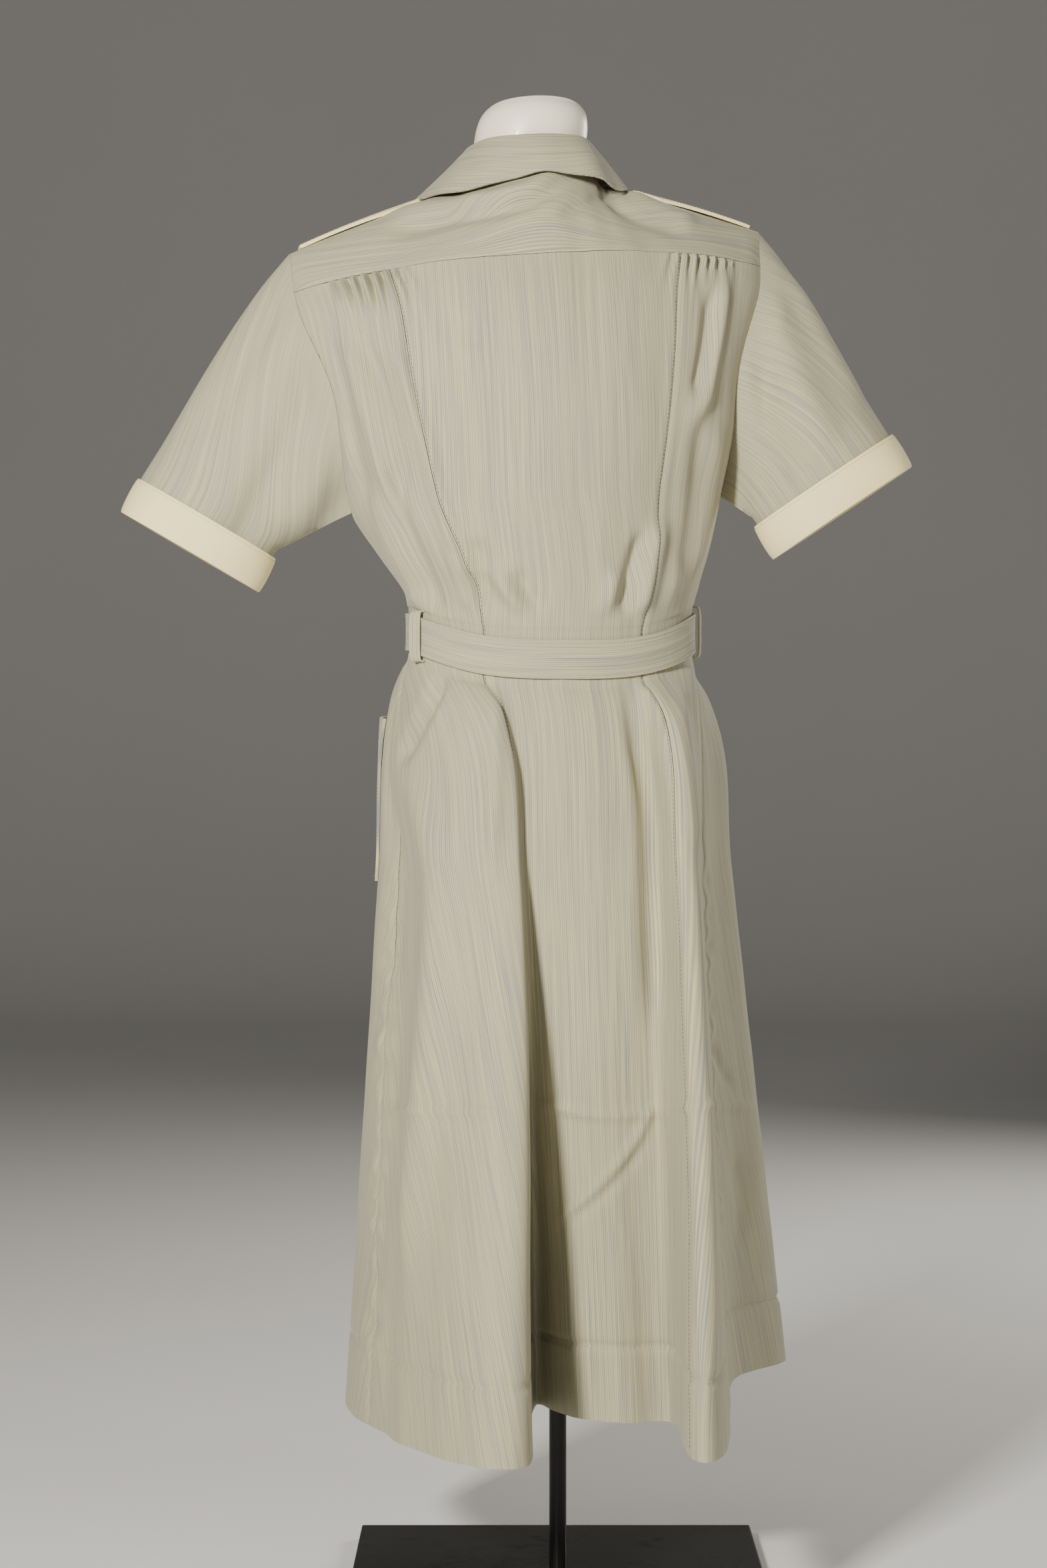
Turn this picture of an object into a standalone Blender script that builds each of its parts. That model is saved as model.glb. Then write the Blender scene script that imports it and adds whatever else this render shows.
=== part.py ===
"""Nurse uniform dress with its belt, standing on a limbless dress form.

Metres, +Z up.  The origin is the middle of the base plate's underside, the
plate is square to the axes, and the dress is turned a little on its stand.
The back of the dress faces +Y and the wearer's left side is +X.
"""
import math

import bmesh
import bpy
import numpy as np

# Driving dimensions
CLOTH = 0.002
SEAM_GAP = 0.0004
TURN = math.radians(7.0)
TILT = math.radians(4.2)
WAIST_Z = 0.833
BELT_SAG = 0.027
BELT_HEIGHT = 0.033
BELT_ZONE = 0.019
MID_Z = 0.62
HIP_DROP = 0.036
HIP_SHARE = 0.58
ARMPIT_ROW = 5
BELT_ROW = 8
UPPER_ROWS = 8
LOWER_ROWS = 3
SKIRT_STEPS = (0.0, 0.035, 0.085, 0.14, 0.21, 0.30, 0.42, 0.56, 0.71, 0.86, 1.0)
POCKET_STEPS = SKIRT_STEPS[2:6]
POCKET_GAPE = (0.011, 0.0055, 0.0015, 0.0)
YOKE_ROWS = 5
SLEEVE_ROWS = 7
GATHER_COUNT = 6
GATHER_DEPTH = 0.0028
GATHER_SPAN = 0.056
GATHER_FADE = 0.045
WAIST_PRINCESS = 33.0
PLATE_SIZE = 0.36
PLATE_HEIGHT = 0.012
POLE_RADIUS = 0.0075
BODICE_BUTTONS = (1.105, 1.005, 0.905)
SKIRT_BUTTONS = (0.765, 0.670, 0.575, 0.480, 0.395)
FORM_BOTTOM = 0.60

# Sections of the back, from the yoke seam to the belt
# name, centre z, centre y, princess x, edge x, edge y, edge z, roundness
BACK_ROWS = (
    ("yoke seam", 1.151, 0.088, 0.126, 0.2050, 0.020, 1.139, 0.25),
    ("blade top", 1.115, 0.100, 0.119, 0.200, 0.030, 1.113, 0.25),
    ("blade", 1.068, 0.109, 0.114, 0.183, 0.040, 1.068, 0.30),
    ("low blade", 1.030, 0.112, 0.109, 0.175, 0.040, 1.035, 0.40),
    ("underarm", 0.990, 0.112, 0.102, 0.171, 0.028, 0.990, 0.60),
    ("armpit", 0.945, 0.109, 0.0935, 0.163, -0.003, 0.945, 0.90),
    ("blouse", 0.905, 0.105, 0.084, 0.146, 0.0, 0.905, 1.0),
    ("pinch", 0.862, 0.097, 0.0735, 0.130, 0.0, 0.872, 1.0),
    ("belt", 0.825, 0.0885, 0.0680, 0.1245, 0.0, 0.852, 1.0),
)

# Sections of the fronts, with the same edge below the armpit
# name, centre z, centre y, edge x, edge y, edge z, roundness
FRONT_ROWS = (
    ("shoulder seam", 1.165, -0.066, 0.210, -0.022, 1.160, 0.2),
    ("chest top", 1.135, -0.088, 0.190, -0.045, 1.122, 0.2),
    ("chest", 1.090, -0.112, 0.172, -0.060, 1.075, 0.3),
    ("bust", 1.040, -0.127, 0.163, -0.062, 1.035, 0.4),
    ("low bust", 0.990, -0.128, 0.161, -0.045, 0.990, 0.6),
    ("armpit", 0.940, -0.120, 0.163, -0.003, 0.945, 0.9),
    ("ribs", 0.905, -0.111, 0.146, 0.0, 0.905, 1.0),
    ("pinch", 0.872, -0.102, 0.130, 0.0, 0.872, 1.0),
    ("belt", 0.852, -0.095, 0.1245, 0.0, 0.852, 1.0),
)

# Lines that run from the belt to the hem, round the skirt from the centre front
# name, angle at the waist in degrees, mid x, mid y, hem x, hem y, hem z
SKIRT_LINES = (
    ("centre front", 180, 0.000, -0.150, 0.000, -0.262, 0.157),
    ("front left inner", 160, 0.047, -0.150, 0.062, -0.285, 0.154),
    ("front left fold", 142, 0.090, -0.140, 0.118, -0.262, 0.150),
    ("front left dip", 125, 0.127, -0.106, 0.150, -0.190, 0.150),
    ("front left outer", 108, 0.155, -0.055, 0.186, -0.105, 0.148),
    ("left outline", 98, 0.157, -0.012, 0.184, -0.020, 0.147),
    ("side left", 90, 0.1456, 0.022, 0.164, 0.045, 0.147),
    ("left dip", 76, 0.128, 0.050, 0.149, 0.080, 0.147),
    ("left ridge", 60, 0.108, 0.090, 0.138, 0.120, 0.147),
    ("lobe one", 52, 0.092, 0.108, 0.1135, 0.165, 0.147),
    ("lobe two", 46, 0.075, 0.118, 0.093, 0.202, 0.147),
    ("lobe three", 41, 0.056, 0.126, 0.058, 0.236, 0.147),
    ("lobe edge", 37, 0.034, 0.124, 0.026, 0.222, 0.147),
    ("princess left", 33, 0.0325, 0.111, 0.0235, 0.130, 0.152),
    ("fold root", 28, 0.030, 0.101, 0.020, 0.030, 0.161),
    ("recess left", 18, 0.016, 0.101, 0.003, 0.058, 0.161),
    ("recess middle", 4, -0.008, 0.104, -0.020, 0.088, 0.160),
    ("recess right", -10, -0.034, 0.103, -0.055, 0.096, 0.158),
    ("right slope", -22, -0.060, 0.096, -0.085, 0.082, 0.157),
    ("right dip", -29, -0.080, 0.090, -0.100, 0.100, 0.156),
    ("princess right", -34, -0.1035, 0.116, -0.1055, 0.206, 0.151),
    ("right ridge", -39, -0.113, 0.112, -0.122, 0.224, 0.150),
    ("right fold side", -46, -0.121, 0.085, -0.138, 0.175, 0.152),
    ("hidden dip", -64, -0.122, 0.045, -0.148, 0.045, 0.158),
    ("side right", -90, -0.127, 0.010, -0.152, -0.035, 0.161),
    ("right front", -102, -0.143, -0.035, -0.166, -0.100, 0.165),
    ("right outline", -116, -0.156, -0.088, -0.216, -0.212, 0.160),
    ("front right fold", -136, -0.113, -0.135, -0.168, -0.280, 0.157),
    ("front right inner", -158, -0.055, -0.151, -0.076, -0.264, 0.155),
    ("centre front end", -180, 0.000, -0.150, 0.000, -0.262, 0.157),
)

# How far the upper body leans on the form: z, sideways shift, share of the tilt
LEAN_ROWS = (
    ("floor", 0.0, 0.006, 0.0),
    ("belt", 0.83, 0.006, 0.0),
    ("pinch", 0.87, 0.006, 0.2),
    ("armpit", 0.945, 0.018, 0.75),
    ("blade", 1.03, 0.022, 1.0),
    ("yoke", 1.15, 0.028, 1.0),
    ("neck", 1.25, 0.026, 0.6),
    ("top", 1.40, 0.008, 0.3),
)

# Sleeve ends in the frame of the stand
# name, side, outer x, outer z, inner x, inner z, middle y, half depth
SLEEVE_ENDS = (
    ("left", 1, 0.368, 0.968, 0.248, 0.898, -0.004, 0.050),
    ("right", -1, -0.294, 1.007, -0.173, 0.926, -0.006, 0.050),
)
CUFF_DROP = 0.033
NECK_HALF_WIDTH = 0.062
NECK_Y = 0.002
NECK_SHARE = 0.46
NECK_SHIFT = 0.026
NECK_CORNER_ANGLE = 112.0
NECK_FRONT_SHARE = 0.34
NECKLINE_SWEEP = math.radians(75)
NECKLINE_CENTRE = (0.0, -0.066, 1.178)
BUTTON_RADIUS = 0.0065
BUTTON_HEIGHT = 0.0026
BUTTON_LIFT = 0.0010
BUCKLE_HALF_SIZE = (0.024, 0.023)
BUCKLE_HOLE = (0.72, 0.74)
BUCKLE_THICK = 0.0035
BUCKLE_AWAY = 0.0072
BUCKLE_ANGLE = 176.0
BELT_LOOP_ANGLES = {1: 78.0, -1: -90.0}
STRAP_LIFT = 0.0036
STRAP_ARCH = 0.003
STAND_GAP = 0.0003
SHOULDER_FACING = (0.0, -0.80, 0.60)

# Dress form sections: z, half width, half depth, middle y, squareness
FORM_ROWS = (
    (FORM_BOTTOM, 0.082, 0.060, -0.006, 2.3),
    (0.615, 0.104, 0.072, -0.006, 2.3),
    (0.66, 0.119, 0.080, -0.006, 2.3),
    (0.72, 0.118, 0.080, -0.006, 2.3),
    (0.79, 0.108, 0.073, -0.005, 2.3),
    (0.85, 0.103, 0.071, -0.005, 2.3),
    (0.91, 0.118, 0.082, -0.006, 2.3),
    (0.98, 0.138, 0.096, -0.008, 2.4),
    (1.04, 0.148, 0.092, -0.006, 2.5),
    (1.095, 0.158, 0.077, 0.000, 2.6),
    (1.130, 0.165, 0.062, 0.004, 2.6),
    (1.158, 0.160, 0.050, 0.005, 2.5),
    (1.176, 0.140, 0.043, 0.005, 2.3),
    (1.191, 0.112, 0.040, 0.005, 2.2),
    (1.202, 0.085, 0.040, 0.005, 2.1),
    (1.213, 0.064, 0.041, 0.005, 2.0),
    (1.232, 0.0525, 0.043, 0.005, 2.0),
    (1.250, 0.0495, 0.044, 0.004, 2.0),
    (1.272, 0.0490, 0.045, 0.004, 2.0),
    (1.286, 0.0450, 0.042, 0.004, 2.0),
    (1.295, 0.0350, 0.033, 0.004, 2.0),
    (1.299, 0.0190, 0.018, 0.004, 2.0),
)
FORM_SIDES = 32

# Colours: red, green, blue, roughness, metallic
FINISHES = {
    "striped_cotton": (0.62, 0.63, 0.60, 0.85, 0.0),
    "cream_cotton": (0.86, 0.83, 0.68, 0.80, 0.0),
    "form_cover": (0.86, 0.86, 0.84, 0.55, 0.0),
    "dark_steel": (0.02, 0.018, 0.016, 0.45, 0.8),
    "pearl_plastic": (0.88, 0.87, 0.82, 0.35, 0.0),
}


def spline(keys, values, places):
    """Smooth curve through values at rising keys, read at the given places."""
    keys = np.asarray(keys, float)
    values = np.asarray(values, float)
    places = np.atleast_1d(np.asarray(places, float))
    steps = np.diff(keys)
    slopes = np.diff(values, axis=0) / steps.reshape((-1,) + (1,) * (values.ndim - 1))
    tangents = np.concatenate([slopes[:1], (slopes[1:] + slopes[:-1]) / 2, slopes[-1:]])
    cell = np.clip(np.searchsorted(keys, places, side="right") - 1, 0, len(steps) - 1)
    width = steps[cell]
    f = np.clip((places - keys[cell]) / width, 0.0, 1.0)
    if values.ndim > 1:
        f = f[:, None]
        width = width[:, None]
    start = (1 + 2 * f) * (1 - f) ** 2 * values[cell]
    start_pull = f * (1 - f) ** 2 * width * tangents[cell]
    end = f * f * (3 - 2 * f) * values[cell + 1]
    end_pull = f * f * (f - 1) * width * tangents[cell + 1]
    return start + start_pull + end + end_pull


def lean(points):
    """Turn garment points on the stand and lean the upper body."""
    points = np.asarray(points, float)
    x = points[..., 0] * math.cos(TURN) - points[..., 1] * math.sin(TURN)
    y = points[..., 0] * math.sin(TURN) + points[..., 1] * math.cos(TURN)
    z = points[..., 2]
    rows = np.array([row[1:] for row in LEAN_ROWS])
    shift = np.interp(z, rows[:, 0], rows[:, 1])
    tilt = np.interp(z, rows[:, 0], rows[:, 2]) * TILT
    return np.stack([x * np.cos(tilt) + shift, y, z - x * np.sin(tilt)], axis=-1)


def section_y(share, centre, edge, roundness):
    """Depth of a body section at a share of its half width."""
    share = np.clip(np.abs(share), 0.0, 1.0)
    arch = roundness * np.sqrt(1 - share ** 2) + (1 - roundness) * (1 - share ** 2)
    return edge + (centre - edge) * arch


def width_share(angle, roundness, princess):
    """Share of the half width at a waist angle of 0 to 90 degrees."""
    flat = angle / 90.0
    turned = np.sin(np.radians(angle))
    place = roundness * turned + (1 - roundness) * flat
    seam = roundness * math.sin(math.radians(WAIST_PRINCESS)) \
        + (1 - roundness) * WAIST_PRINCESS / 90.0
    inner = princess * place / seam
    outer = princess + (1 - princess) * (place - seam) / (1 - seam)
    return np.where(angle < WAIST_PRINCESS, inner, outer)


def gathers(distance, drop):
    """Height of the gathers beside the princess seam, by distance from it."""
    inside = np.clip(distance / GATHER_SPAN, 0.0, 1.0)
    swell = np.sin(math.pi * inside) ** 0.5
    fade = np.exp(-drop / GATHER_FADE)
    return GATHER_DEPTH * np.cos(2 * math.pi * GATHER_COUNT * inside) * swell * fade


def back_point(angle, v):
    """Garment point of the back; v runs 0 to 8 through the rows of the table."""
    numbers = np.array([row[1:] for row in BACK_ROWS])
    z_mid, y_mid, princess, x_edge, y_edge, z_edge, roundness = \
        spline(range(len(BACK_ROWS)), numbers, [v])[0]
    side = np.sign(angle)
    share = width_share(abs(angle), np.clip(roundness, 0, 1), princess / x_edge)
    y = section_y(share, y_mid, y_edge, np.clip(roundness, 0, 1))
    z = z_mid + (z_edge - z_mid) * share ** 3
    y += gathers(share * x_edge - princess, max(z_mid_top() - z, 0.0))
    return np.array([side * share * x_edge, y, z])


def z_mid_top():
    """Height of the yoke seam at the centre back."""
    return BACK_ROWS[0][1]


def front_point(angle, v):
    """Garment point of a front; angle 90 is the side, 180 the centre front."""
    numbers = np.array([row[1:] for row in FRONT_ROWS])
    z_mid, y_mid, x_edge, y_edge, z_edge, roundness = \
        spline(range(len(FRONT_ROWS)), numbers, [v])[0]
    if v > ARMPIT_ROW:
        x_edge, y_edge, z_edge = back_point(90.0, v)
    roundness = float(np.clip(roundness, 0, 1))
    turn = 180.0 - abs(angle)
    share = roundness * math.sin(math.radians(turn)) + (1 - roundness) * turn / 90.0
    y = section_y(share, y_mid, y_edge, roundness)
    z = z_mid + (z_edge - z_mid) * share ** 2
    point = np.array([math.copysign(share * x_edge, angle), y, z])
    if v < 1.0:
        top = neck_and_shoulder(share, math.copysign(1, angle))
        start = front_point(angle, 1.0)
        return top + (start - top) * v
    return point


def neck_and_shoulder(share, side):
    """Top edge of a front: neckline from the centre front, then shoulder seam."""
    corner = neck_corner(side)
    if share < NECK_FRONT_SHARE:
        f = share / NECK_FRONT_SHARE
        sweep = math.sin(f * NECKLINE_SWEEP) / math.sin(NECKLINE_SWEEP)
        centre = np.array(NECKLINE_CENTRE)
        return centre + (corner - centre) * np.array([sweep, f ** 1.6, f ** 1.3])
    f = (share - NECK_FRONT_SHARE) / (1 - NECK_FRONT_SHARE)
    end = np.array([side * FRONT_ROWS[0][3], FRONT_ROWS[0][4], FRONT_ROWS[0][5]])
    return corner + (end - corner) * f


def neck_corner(side):
    """Where the forward shoulder seam meets the neck."""
    return neck_seam(side * NECK_CORNER_ANGLE)


def neck_seam(angle):
    """Neck seam of the yoke at an angle from the centre back."""
    a = math.radians(angle)
    z = 1.229 - 0.005 * math.sin(a) ** 2 - 0.002 * (1 - math.cos(a))
    return np.array([NECK_HALF_WIDTH * math.sin(a), NECK_Y + 0.058 * math.cos(a), z])


def yoke_point(share, r):
    """Yoke from its front and neck edge (r 0) to the back yoke seam (r 1)."""
    side = math.copysign(1, share)
    size = abs(share)
    angle = column_angle_for_share(size)
    outer = back_point(side * angle, 0.0)
    if size < NECK_SHARE:
        inner = neck_seam(side * NECK_CORNER_ANGLE * size / NECK_SHARE)
    else:
        f = (size - NECK_SHARE) / (1 - NECK_SHARE)
        corner = neck_corner(side)
        end = np.array([side * FRONT_ROWS[0][3], FRONT_ROWS[0][4], FRONT_ROWS[0][5]])
        inner = corner + (end - corner) * f
    over = np.clip(size / NECK_SHARE, 0, 1) ** 3
    rise = 4 * r * (1 - r) * (0.003 + 0.021 * over)
    out = 4 * r * (1 - r) * 0.007 * (1 - over)
    return inner + (outer - inner) * r + np.array([0.0, out, rise])


def column_angle_for_share(share):
    """Waist angle of the back column at a share of the yoke seam's half width."""
    row = BACK_ROWS[0]
    angles = np.linspace(0.0, 90.0, 181)
    shares = width_share(angles, row[7], row[3] / row[4])
    return float(np.interp(share, shares, angles))


def waist_point(angle):
    """Garment point under the middle of the belt at a waist angle."""
    a = math.radians(angle)
    back = math.cos(a) > 0
    depth = BACK_ROWS[-1][2] if back else -FRONT_ROWS[-1][2]
    sag = BELT_SAG * (1 - abs(math.sin(a)) ** 3) if back else 0.0
    x = BACK_ROWS[-1][4] * math.sin(a)
    if back:
        share = width_share(np.array(abs(angle)), 1.0, BACK_ROWS[-1][3] / BACK_ROWS[-1][4])
        x = math.copysign(float(share) * BACK_ROWS[-1][4], angle)
        y = section_y(float(share), depth, 0.0, 1.0)
    else:
        y = math.cos(a) * depth
    return np.array([x, y, WAIST_Z - sag])


def skirt_point(s, t):
    """Skirt in the frame of the stand; s counts the lines, t 0 at the belt."""
    table = np.array([row[1:] for row in SKIRT_LINES])
    keys = range(len(SKIRT_LINES))
    angle, mid_x, mid_y, hem_x, hem_y, hem_z = spline(keys, table, [s])[0]
    waist = lean(waist_point(angle) - np.array([0, 0, BELT_ZONE]))
    hem = np.array([hem_x, hem_y, hem_z])
    middle = (waist[2] - MID_Z) / (waist[2] - hem_z)
    mid = np.array([mid_x, mid_y, MID_Z])
    hip = waist + (mid - waist) * HIP_SHARE
    hip[2] = waist[2] - HIP_DROP
    places = [0.0, HIP_DROP / (waist[2] - hem_z), middle, 1.0]
    return spline(places, np.array([waist, hip, mid, hem]), [t])[0]


def body_column(s, front):
    """One line of cloth from the yoke or shoulder seam down to the hem."""
    angle = float(spline(range(len(SKIRT_LINES)), [row[1] for row in SKIRT_LINES], [s])[0])
    point = front_point if front else back_point
    rows = list(np.linspace(0, ARMPIT_ROW, UPPER_ROWS + 1))
    rows += list(np.linspace(ARMPIT_ROW, BELT_ROW, LOWER_ROWS + 1))[1:]
    upper = [lean(point(angle, v)) for v in rows]
    lower = [skirt_point(s, t) for t in SKIRT_STEPS]
    return np.array(upper + lower)


def line_number(name):
    """Index of a named line of the skirt table."""
    return [row[0] for row in SKIRT_LINES].index(name)


def panel_grid(first, last, front=False, steps=2):
    """Grid of outer points of a panel between two named lines."""
    start = line_number(first)
    end = line_number(last)
    places = np.linspace(start, end, (end - start) * steps + 1)
    return np.array([body_column(s, front) for s in places]).transpose(1, 0, 2)


def grid_normals(grid, closed=False):
    """Outward normals of a grid whose rows run down and columns run left to right."""
    if closed:
        across = np.roll(grid, -1, axis=1) - np.roll(grid, 1, axis=1)
    else:
        across = np.gradient(grid, axis=1)
    down = np.gradient(grid, axis=0)
    normals = np.cross(down, across)
    return normals / np.maximum(np.linalg.norm(normals, axis=-1, keepdims=True), 1e-9)


class Seams:
    """Collects what meets at each seam point so that walls are mitred there."""

    def __init__(self):
        self.normals = {}

    @staticmethod
    def key(point):
        return tuple(np.round(point * 5000).astype(int))

    def add(self, grid, normals, closed=False):
        rows, columns = grid.shape[:2]
        for r in range(rows):
            for c in range(columns):
                edge_row = r in (0, rows - 1)
                edge_column = not closed and c in (0, columns - 1)
                if not (edge_row or edge_column):
                    continue
                self.normals.setdefault(self.key(grid[r, c]), []).append(normals[r, c])

    def fix(self, points, direction):
        """Give the points of a seam one facing, shared by both of its pieces."""
        for point in points:
            self.normals[self.key(point)] = [np.asarray(direction, float)]

    def normal(self, point, own):
        found = self.normals.get(self.key(point), [own])
        total = np.sum(found, axis=0)
        size = np.linalg.norm(total)
        if size < 1e-6:
            return own
        mitre = total / size
        return mitre / max(float(np.dot(mitre, own)), 0.6)


def trim(grid, amounts, closed=False):
    """Draw each border of a grid inwards along the cloth by its own amount."""
    grid = grid.copy()
    top, bottom, left, right = amounts
    for row, inner, amount in ((0, 1, top), (-1, -2, bottom)):
        step = grid[inner] - grid[row]
        length = np.maximum(np.linalg.norm(step, axis=-1, keepdims=True), 1e-9)
        grid[row] = grid[row] + step / length * amount
    if not closed:
        for column, inner, amount in ((0, 1, left), (-1, -2, right)):
            step = grid[:, inner] - grid[:, column]
            length = np.maximum(np.linalg.norm(step, axis=-1, keepdims=True), 1e-9)
            grid[:, column] = grid[:, column] + step / length * amount
    return grid


def wall_mesh(name, outer, inner, closed=False):
    """Closed wall between an outer and an inner grid of the same size."""
    rows, columns = outer.shape[:2]
    vertices = np.concatenate([outer.reshape(-1, 3), inner.reshape(-1, 3)])
    offset = rows * columns
    faces = []
    last = columns if closed else columns - 1
    for r in range(rows - 1):
        for c in range(last):
            d = (c + 1) % columns
            a, b = r * columns + c, r * columns + d
            e, f = a + columns, b + columns
            faces.append((a, e, f, b))
            faces.append((offset + a, offset + b, offset + f, offset + e))
    for c in range(last):
        d = (c + 1) % columns
        base = (rows - 1) * columns
        faces.append((c, d, offset + d, offset + c))
        faces.append((base + d, base + c, offset + base + c, offset + base + d))
    if not closed:
        for r in range(rows - 1):
            a, b = r * columns, (r + 1) * columns
            faces.append((b, a, offset + a, offset + b))
            a, b = a + columns - 1, b + columns - 1
            faces.append((a, b, offset + b, offset + a))
    mesh = bpy.data.meshes.new(name)
    mesh.from_pydata([tuple(v) for v in vertices], [], faces)
    return finish_mesh(mesh)


def finish_mesh(mesh):
    """Merge doubles, split quads and point the faces out."""
    work = bmesh.new()
    work.from_mesh(mesh)
    bmesh.ops.remove_doubles(work, verts=work.verts, dist=1e-7)
    bmesh.ops.triangulate(work, faces=work.faces)
    bmesh.ops.recalc_face_normals(work, faces=work.faces)
    work.to_mesh(mesh)
    work.free()
    return mesh


def new_object(name, mesh, finish):
    """Named object with its own material in the dress's collection."""
    red, green, blue, roughness, metallic = FINISHES[finish]
    material = bpy.data.materials.new(name)
    material.use_nodes = True
    shader = material.node_tree.nodes["Principled BSDF"]
    shader.inputs["Base Color"].default_value = (red, green, blue, 1.0)
    shader.inputs["Roughness"].default_value = roughness
    shader.inputs["Metallic"].default_value = metallic
    mesh.materials.append(material)
    mesh.shade_smooth()
    mesh.set_sharp_from_angle(angle=math.radians(40))
    item = bpy.data.objects.new(name, mesh)
    bpy.data.collections["nurse_uniform_dress"].objects.link(item)
    return item


def inner_grid(outer, normals, seams, closed=False):
    """Inner side of a wall: every point moved in, mitred along the seams."""
    depth = normals.copy()
    rows, columns = outer.shape[:2]
    for r in range(rows):
        for c in range(columns):
            if r in (0, rows - 1) or (not closed and c in (0, columns - 1)):
                depth[r, c] = seams.normal(outer[r, c], normals[r, c])
    return outer - depth * CLOTH


def centre_front_columns(side):
    """Columns of one front, with how far each lies under the other front."""
    under = [-0.35, 0.0, 0.45, 0.95, 1.45]
    if side > 0:
        places = under + list(np.arange(2.0, line_number("side left") + 0.1, 0.5))
        inset = [1, 1, 1, 1, 0] + [0] * (len(places) - len(under))
        return places, inset
    start = line_number("side right")
    end = line_number("centre front end")
    places = list(np.arange(start, end + 0.1, 0.5)) + [end + 0.25]
    return places, [0] * len(places)


def front_grid(side):
    """Outer points of one front; the left one tucks under the right one."""
    end = line_number("centre front end")
    places, inset = centre_front_columns(side)
    grid = np.array([body_column(s % end, True) for s in places]).transpose(1, 0, 2)
    normals = grid_normals(grid)
    return grid - normals * np.array(inset)[None, :, None] * (CLOTH + 2 * SEAM_GAP)


def yoke_grid(back_places):
    """Outer points of the yoke; its columns meet those of the back panels."""
    row = BACK_ROWS[0]
    columns = []
    for s in back_places:
        angle = float(spline(range(len(SKIRT_LINES)), [r[1] for r in SKIRT_LINES], [s])[0])
        share = math.copysign(float(width_share(abs(angle), row[7], row[3] / row[4])), angle)
        columns.append([lean(yoke_point(share, r)) for r in np.linspace(0, 1, YOKE_ROWS + 1)])
    return np.array(columns).transpose(1, 0, 2)


def armhole_loop(side):
    """Armhole from the armpit up the back, over the shoulder and down the front."""
    rows = np.linspace(0, ARMPIT_ROW, UPPER_ROWS + 1)
    back = [back_point(side * 90.0, v) for v in rows[::-1]]
    top = [yoke_point(side * 1.0, r) for r in np.linspace(1, 0, YOKE_ROWS + 1)[1:-1]]
    front = [front_point(side * 90.0, v) for v in rows[:-1]]
    return np.array([lean(p) for p in back + top + front])


def loop_shares(loop, top):
    """Share of the way round for each point, with the shoulder point at a half."""
    steps = np.linalg.norm(np.roll(loop, -1, axis=0) - loop, axis=1)
    along = np.concatenate([[0], np.cumsum(steps)])
    first = along[:top + 1] / along[top] * 0.5
    second = 0.5 + (along[top:-1] - along[top]) / (along[-1] - along[top]) * 0.5
    return np.concatenate([first[:-1], second])


def sleeve_ring(row, shares, drop, grow):
    """Ring across a sleeve, `drop` below the top edge of its cuff."""
    side, outer_x, outer_z, inner_x, inner_z, middle_y, half_depth = row[1:]
    outer = np.array([outer_x, middle_y, outer_z])
    inner = np.array([inner_x, middle_y, inner_z])
    half = (inner - outer) / 2
    size = np.linalg.norm(half)
    along = half / size
    axis = np.array([along[2], 0.0, -along[0]]) * side
    if axis[2] > 0:
        axis = -axis
    turn = 2 * math.pi * shares[:, None]
    centre = (outer + inner) / 2 + axis * drop
    width = along * (size + grow) * np.cos(turn)
    depth = np.array([0.0, 1.0, 0.0]) * (half_depth + grow) * np.sin(turn)
    return centre + width + depth


def sleeve_grid(row, shares, loop):
    """Sleeve from the armhole to just inside its cuff."""
    side = row[1]
    inset = -CLOTH - 2 * SEAM_GAP
    end = sleeve_ring(row, shares, -0.006, inset)
    reach = end - loop
    length = np.linalg.norm(reach, axis=1, keepdims=True)
    start_pull = reach * 0.75 + length * np.array([side, 0.0, -0.35]) * 0.22
    rows = []
    for t in np.linspace(0, 1, SLEEVE_ROWS + 1):
        start = (1 + 2 * t) * (1 - t) ** 2
        stop = t * t * (3 - 2 * t)
        rows.append(start * loop + t * (1 - t) ** 2 * start_pull
                    + stop * end + t * t * (t - 1) * reach)
    rows.append(sleeve_ring(row, shares, 0.010, inset))
    return np.array(rows)


def make_sleeves(walls):
    """Both sleeves with their turned-up cuffs."""
    top = UPPER_ROWS + 3
    for row in SLEEVE_ENDS:
        name, side = row[:2]
        loop = armhole_loop(side)
        shares = loop_shares(loop, top)
        sleeve = sleeve_grid(row, shares, loop)
        cuff = np.array([sleeve_ring(row, shares, d, 0.0)
                         for d in np.linspace(0.0, CUFF_DROP, 3)])
        if side > 0:
            sleeve = sleeve[:, ::-1]
            cuff = cuff[:, ::-1]
        walls.append((f"sleeve_{name}", sleeve, (2 * SEAM_GAP, 0, 0, 0), True, "striped_cotton"))
        walls.append((f"cuff_{name}", cuff, (0, 0, 0, 0), True, "cream_cotton"))


# Collar: angle from the centre back, fold x, y, z, outer edge x, y, z
COLLAR_ROWS = (
    (0, 0.0, 0.056, 1.259, 0.0, 0.084, 1.2305),
    (45, 0.038, 0.042, 1.259, 0.058, 0.070, 1.2215),
    (90, 0.0545, 0.002, 1.256, 0.0865, 0.010, 1.2200),
    (108, 0.0535, -0.016, 1.2505, 0.0885, -0.018, 1.2160),
    (125, 0.050, -0.034, 1.243, 0.087, -0.048, 1.198),
    (150, 0.031, -0.055, 1.220, 0.066, -0.092, 1.163),
    (172, 0.009, -0.070, 1.196, 0.030, -0.103, 1.135),
)


def neck_line(angle):
    """Neck seam all round, from the yoke's neck edge to the centre front."""
    size = abs(angle)
    if size <= NECK_CORNER_ANGLE:
        return neck_seam(angle)
    share = NECK_FRONT_SHARE * (180.0 - size) / (180.0 - NECK_CORNER_ANGLE)
    return neck_and_shoulder(share, math.copysign(1, angle))


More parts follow.
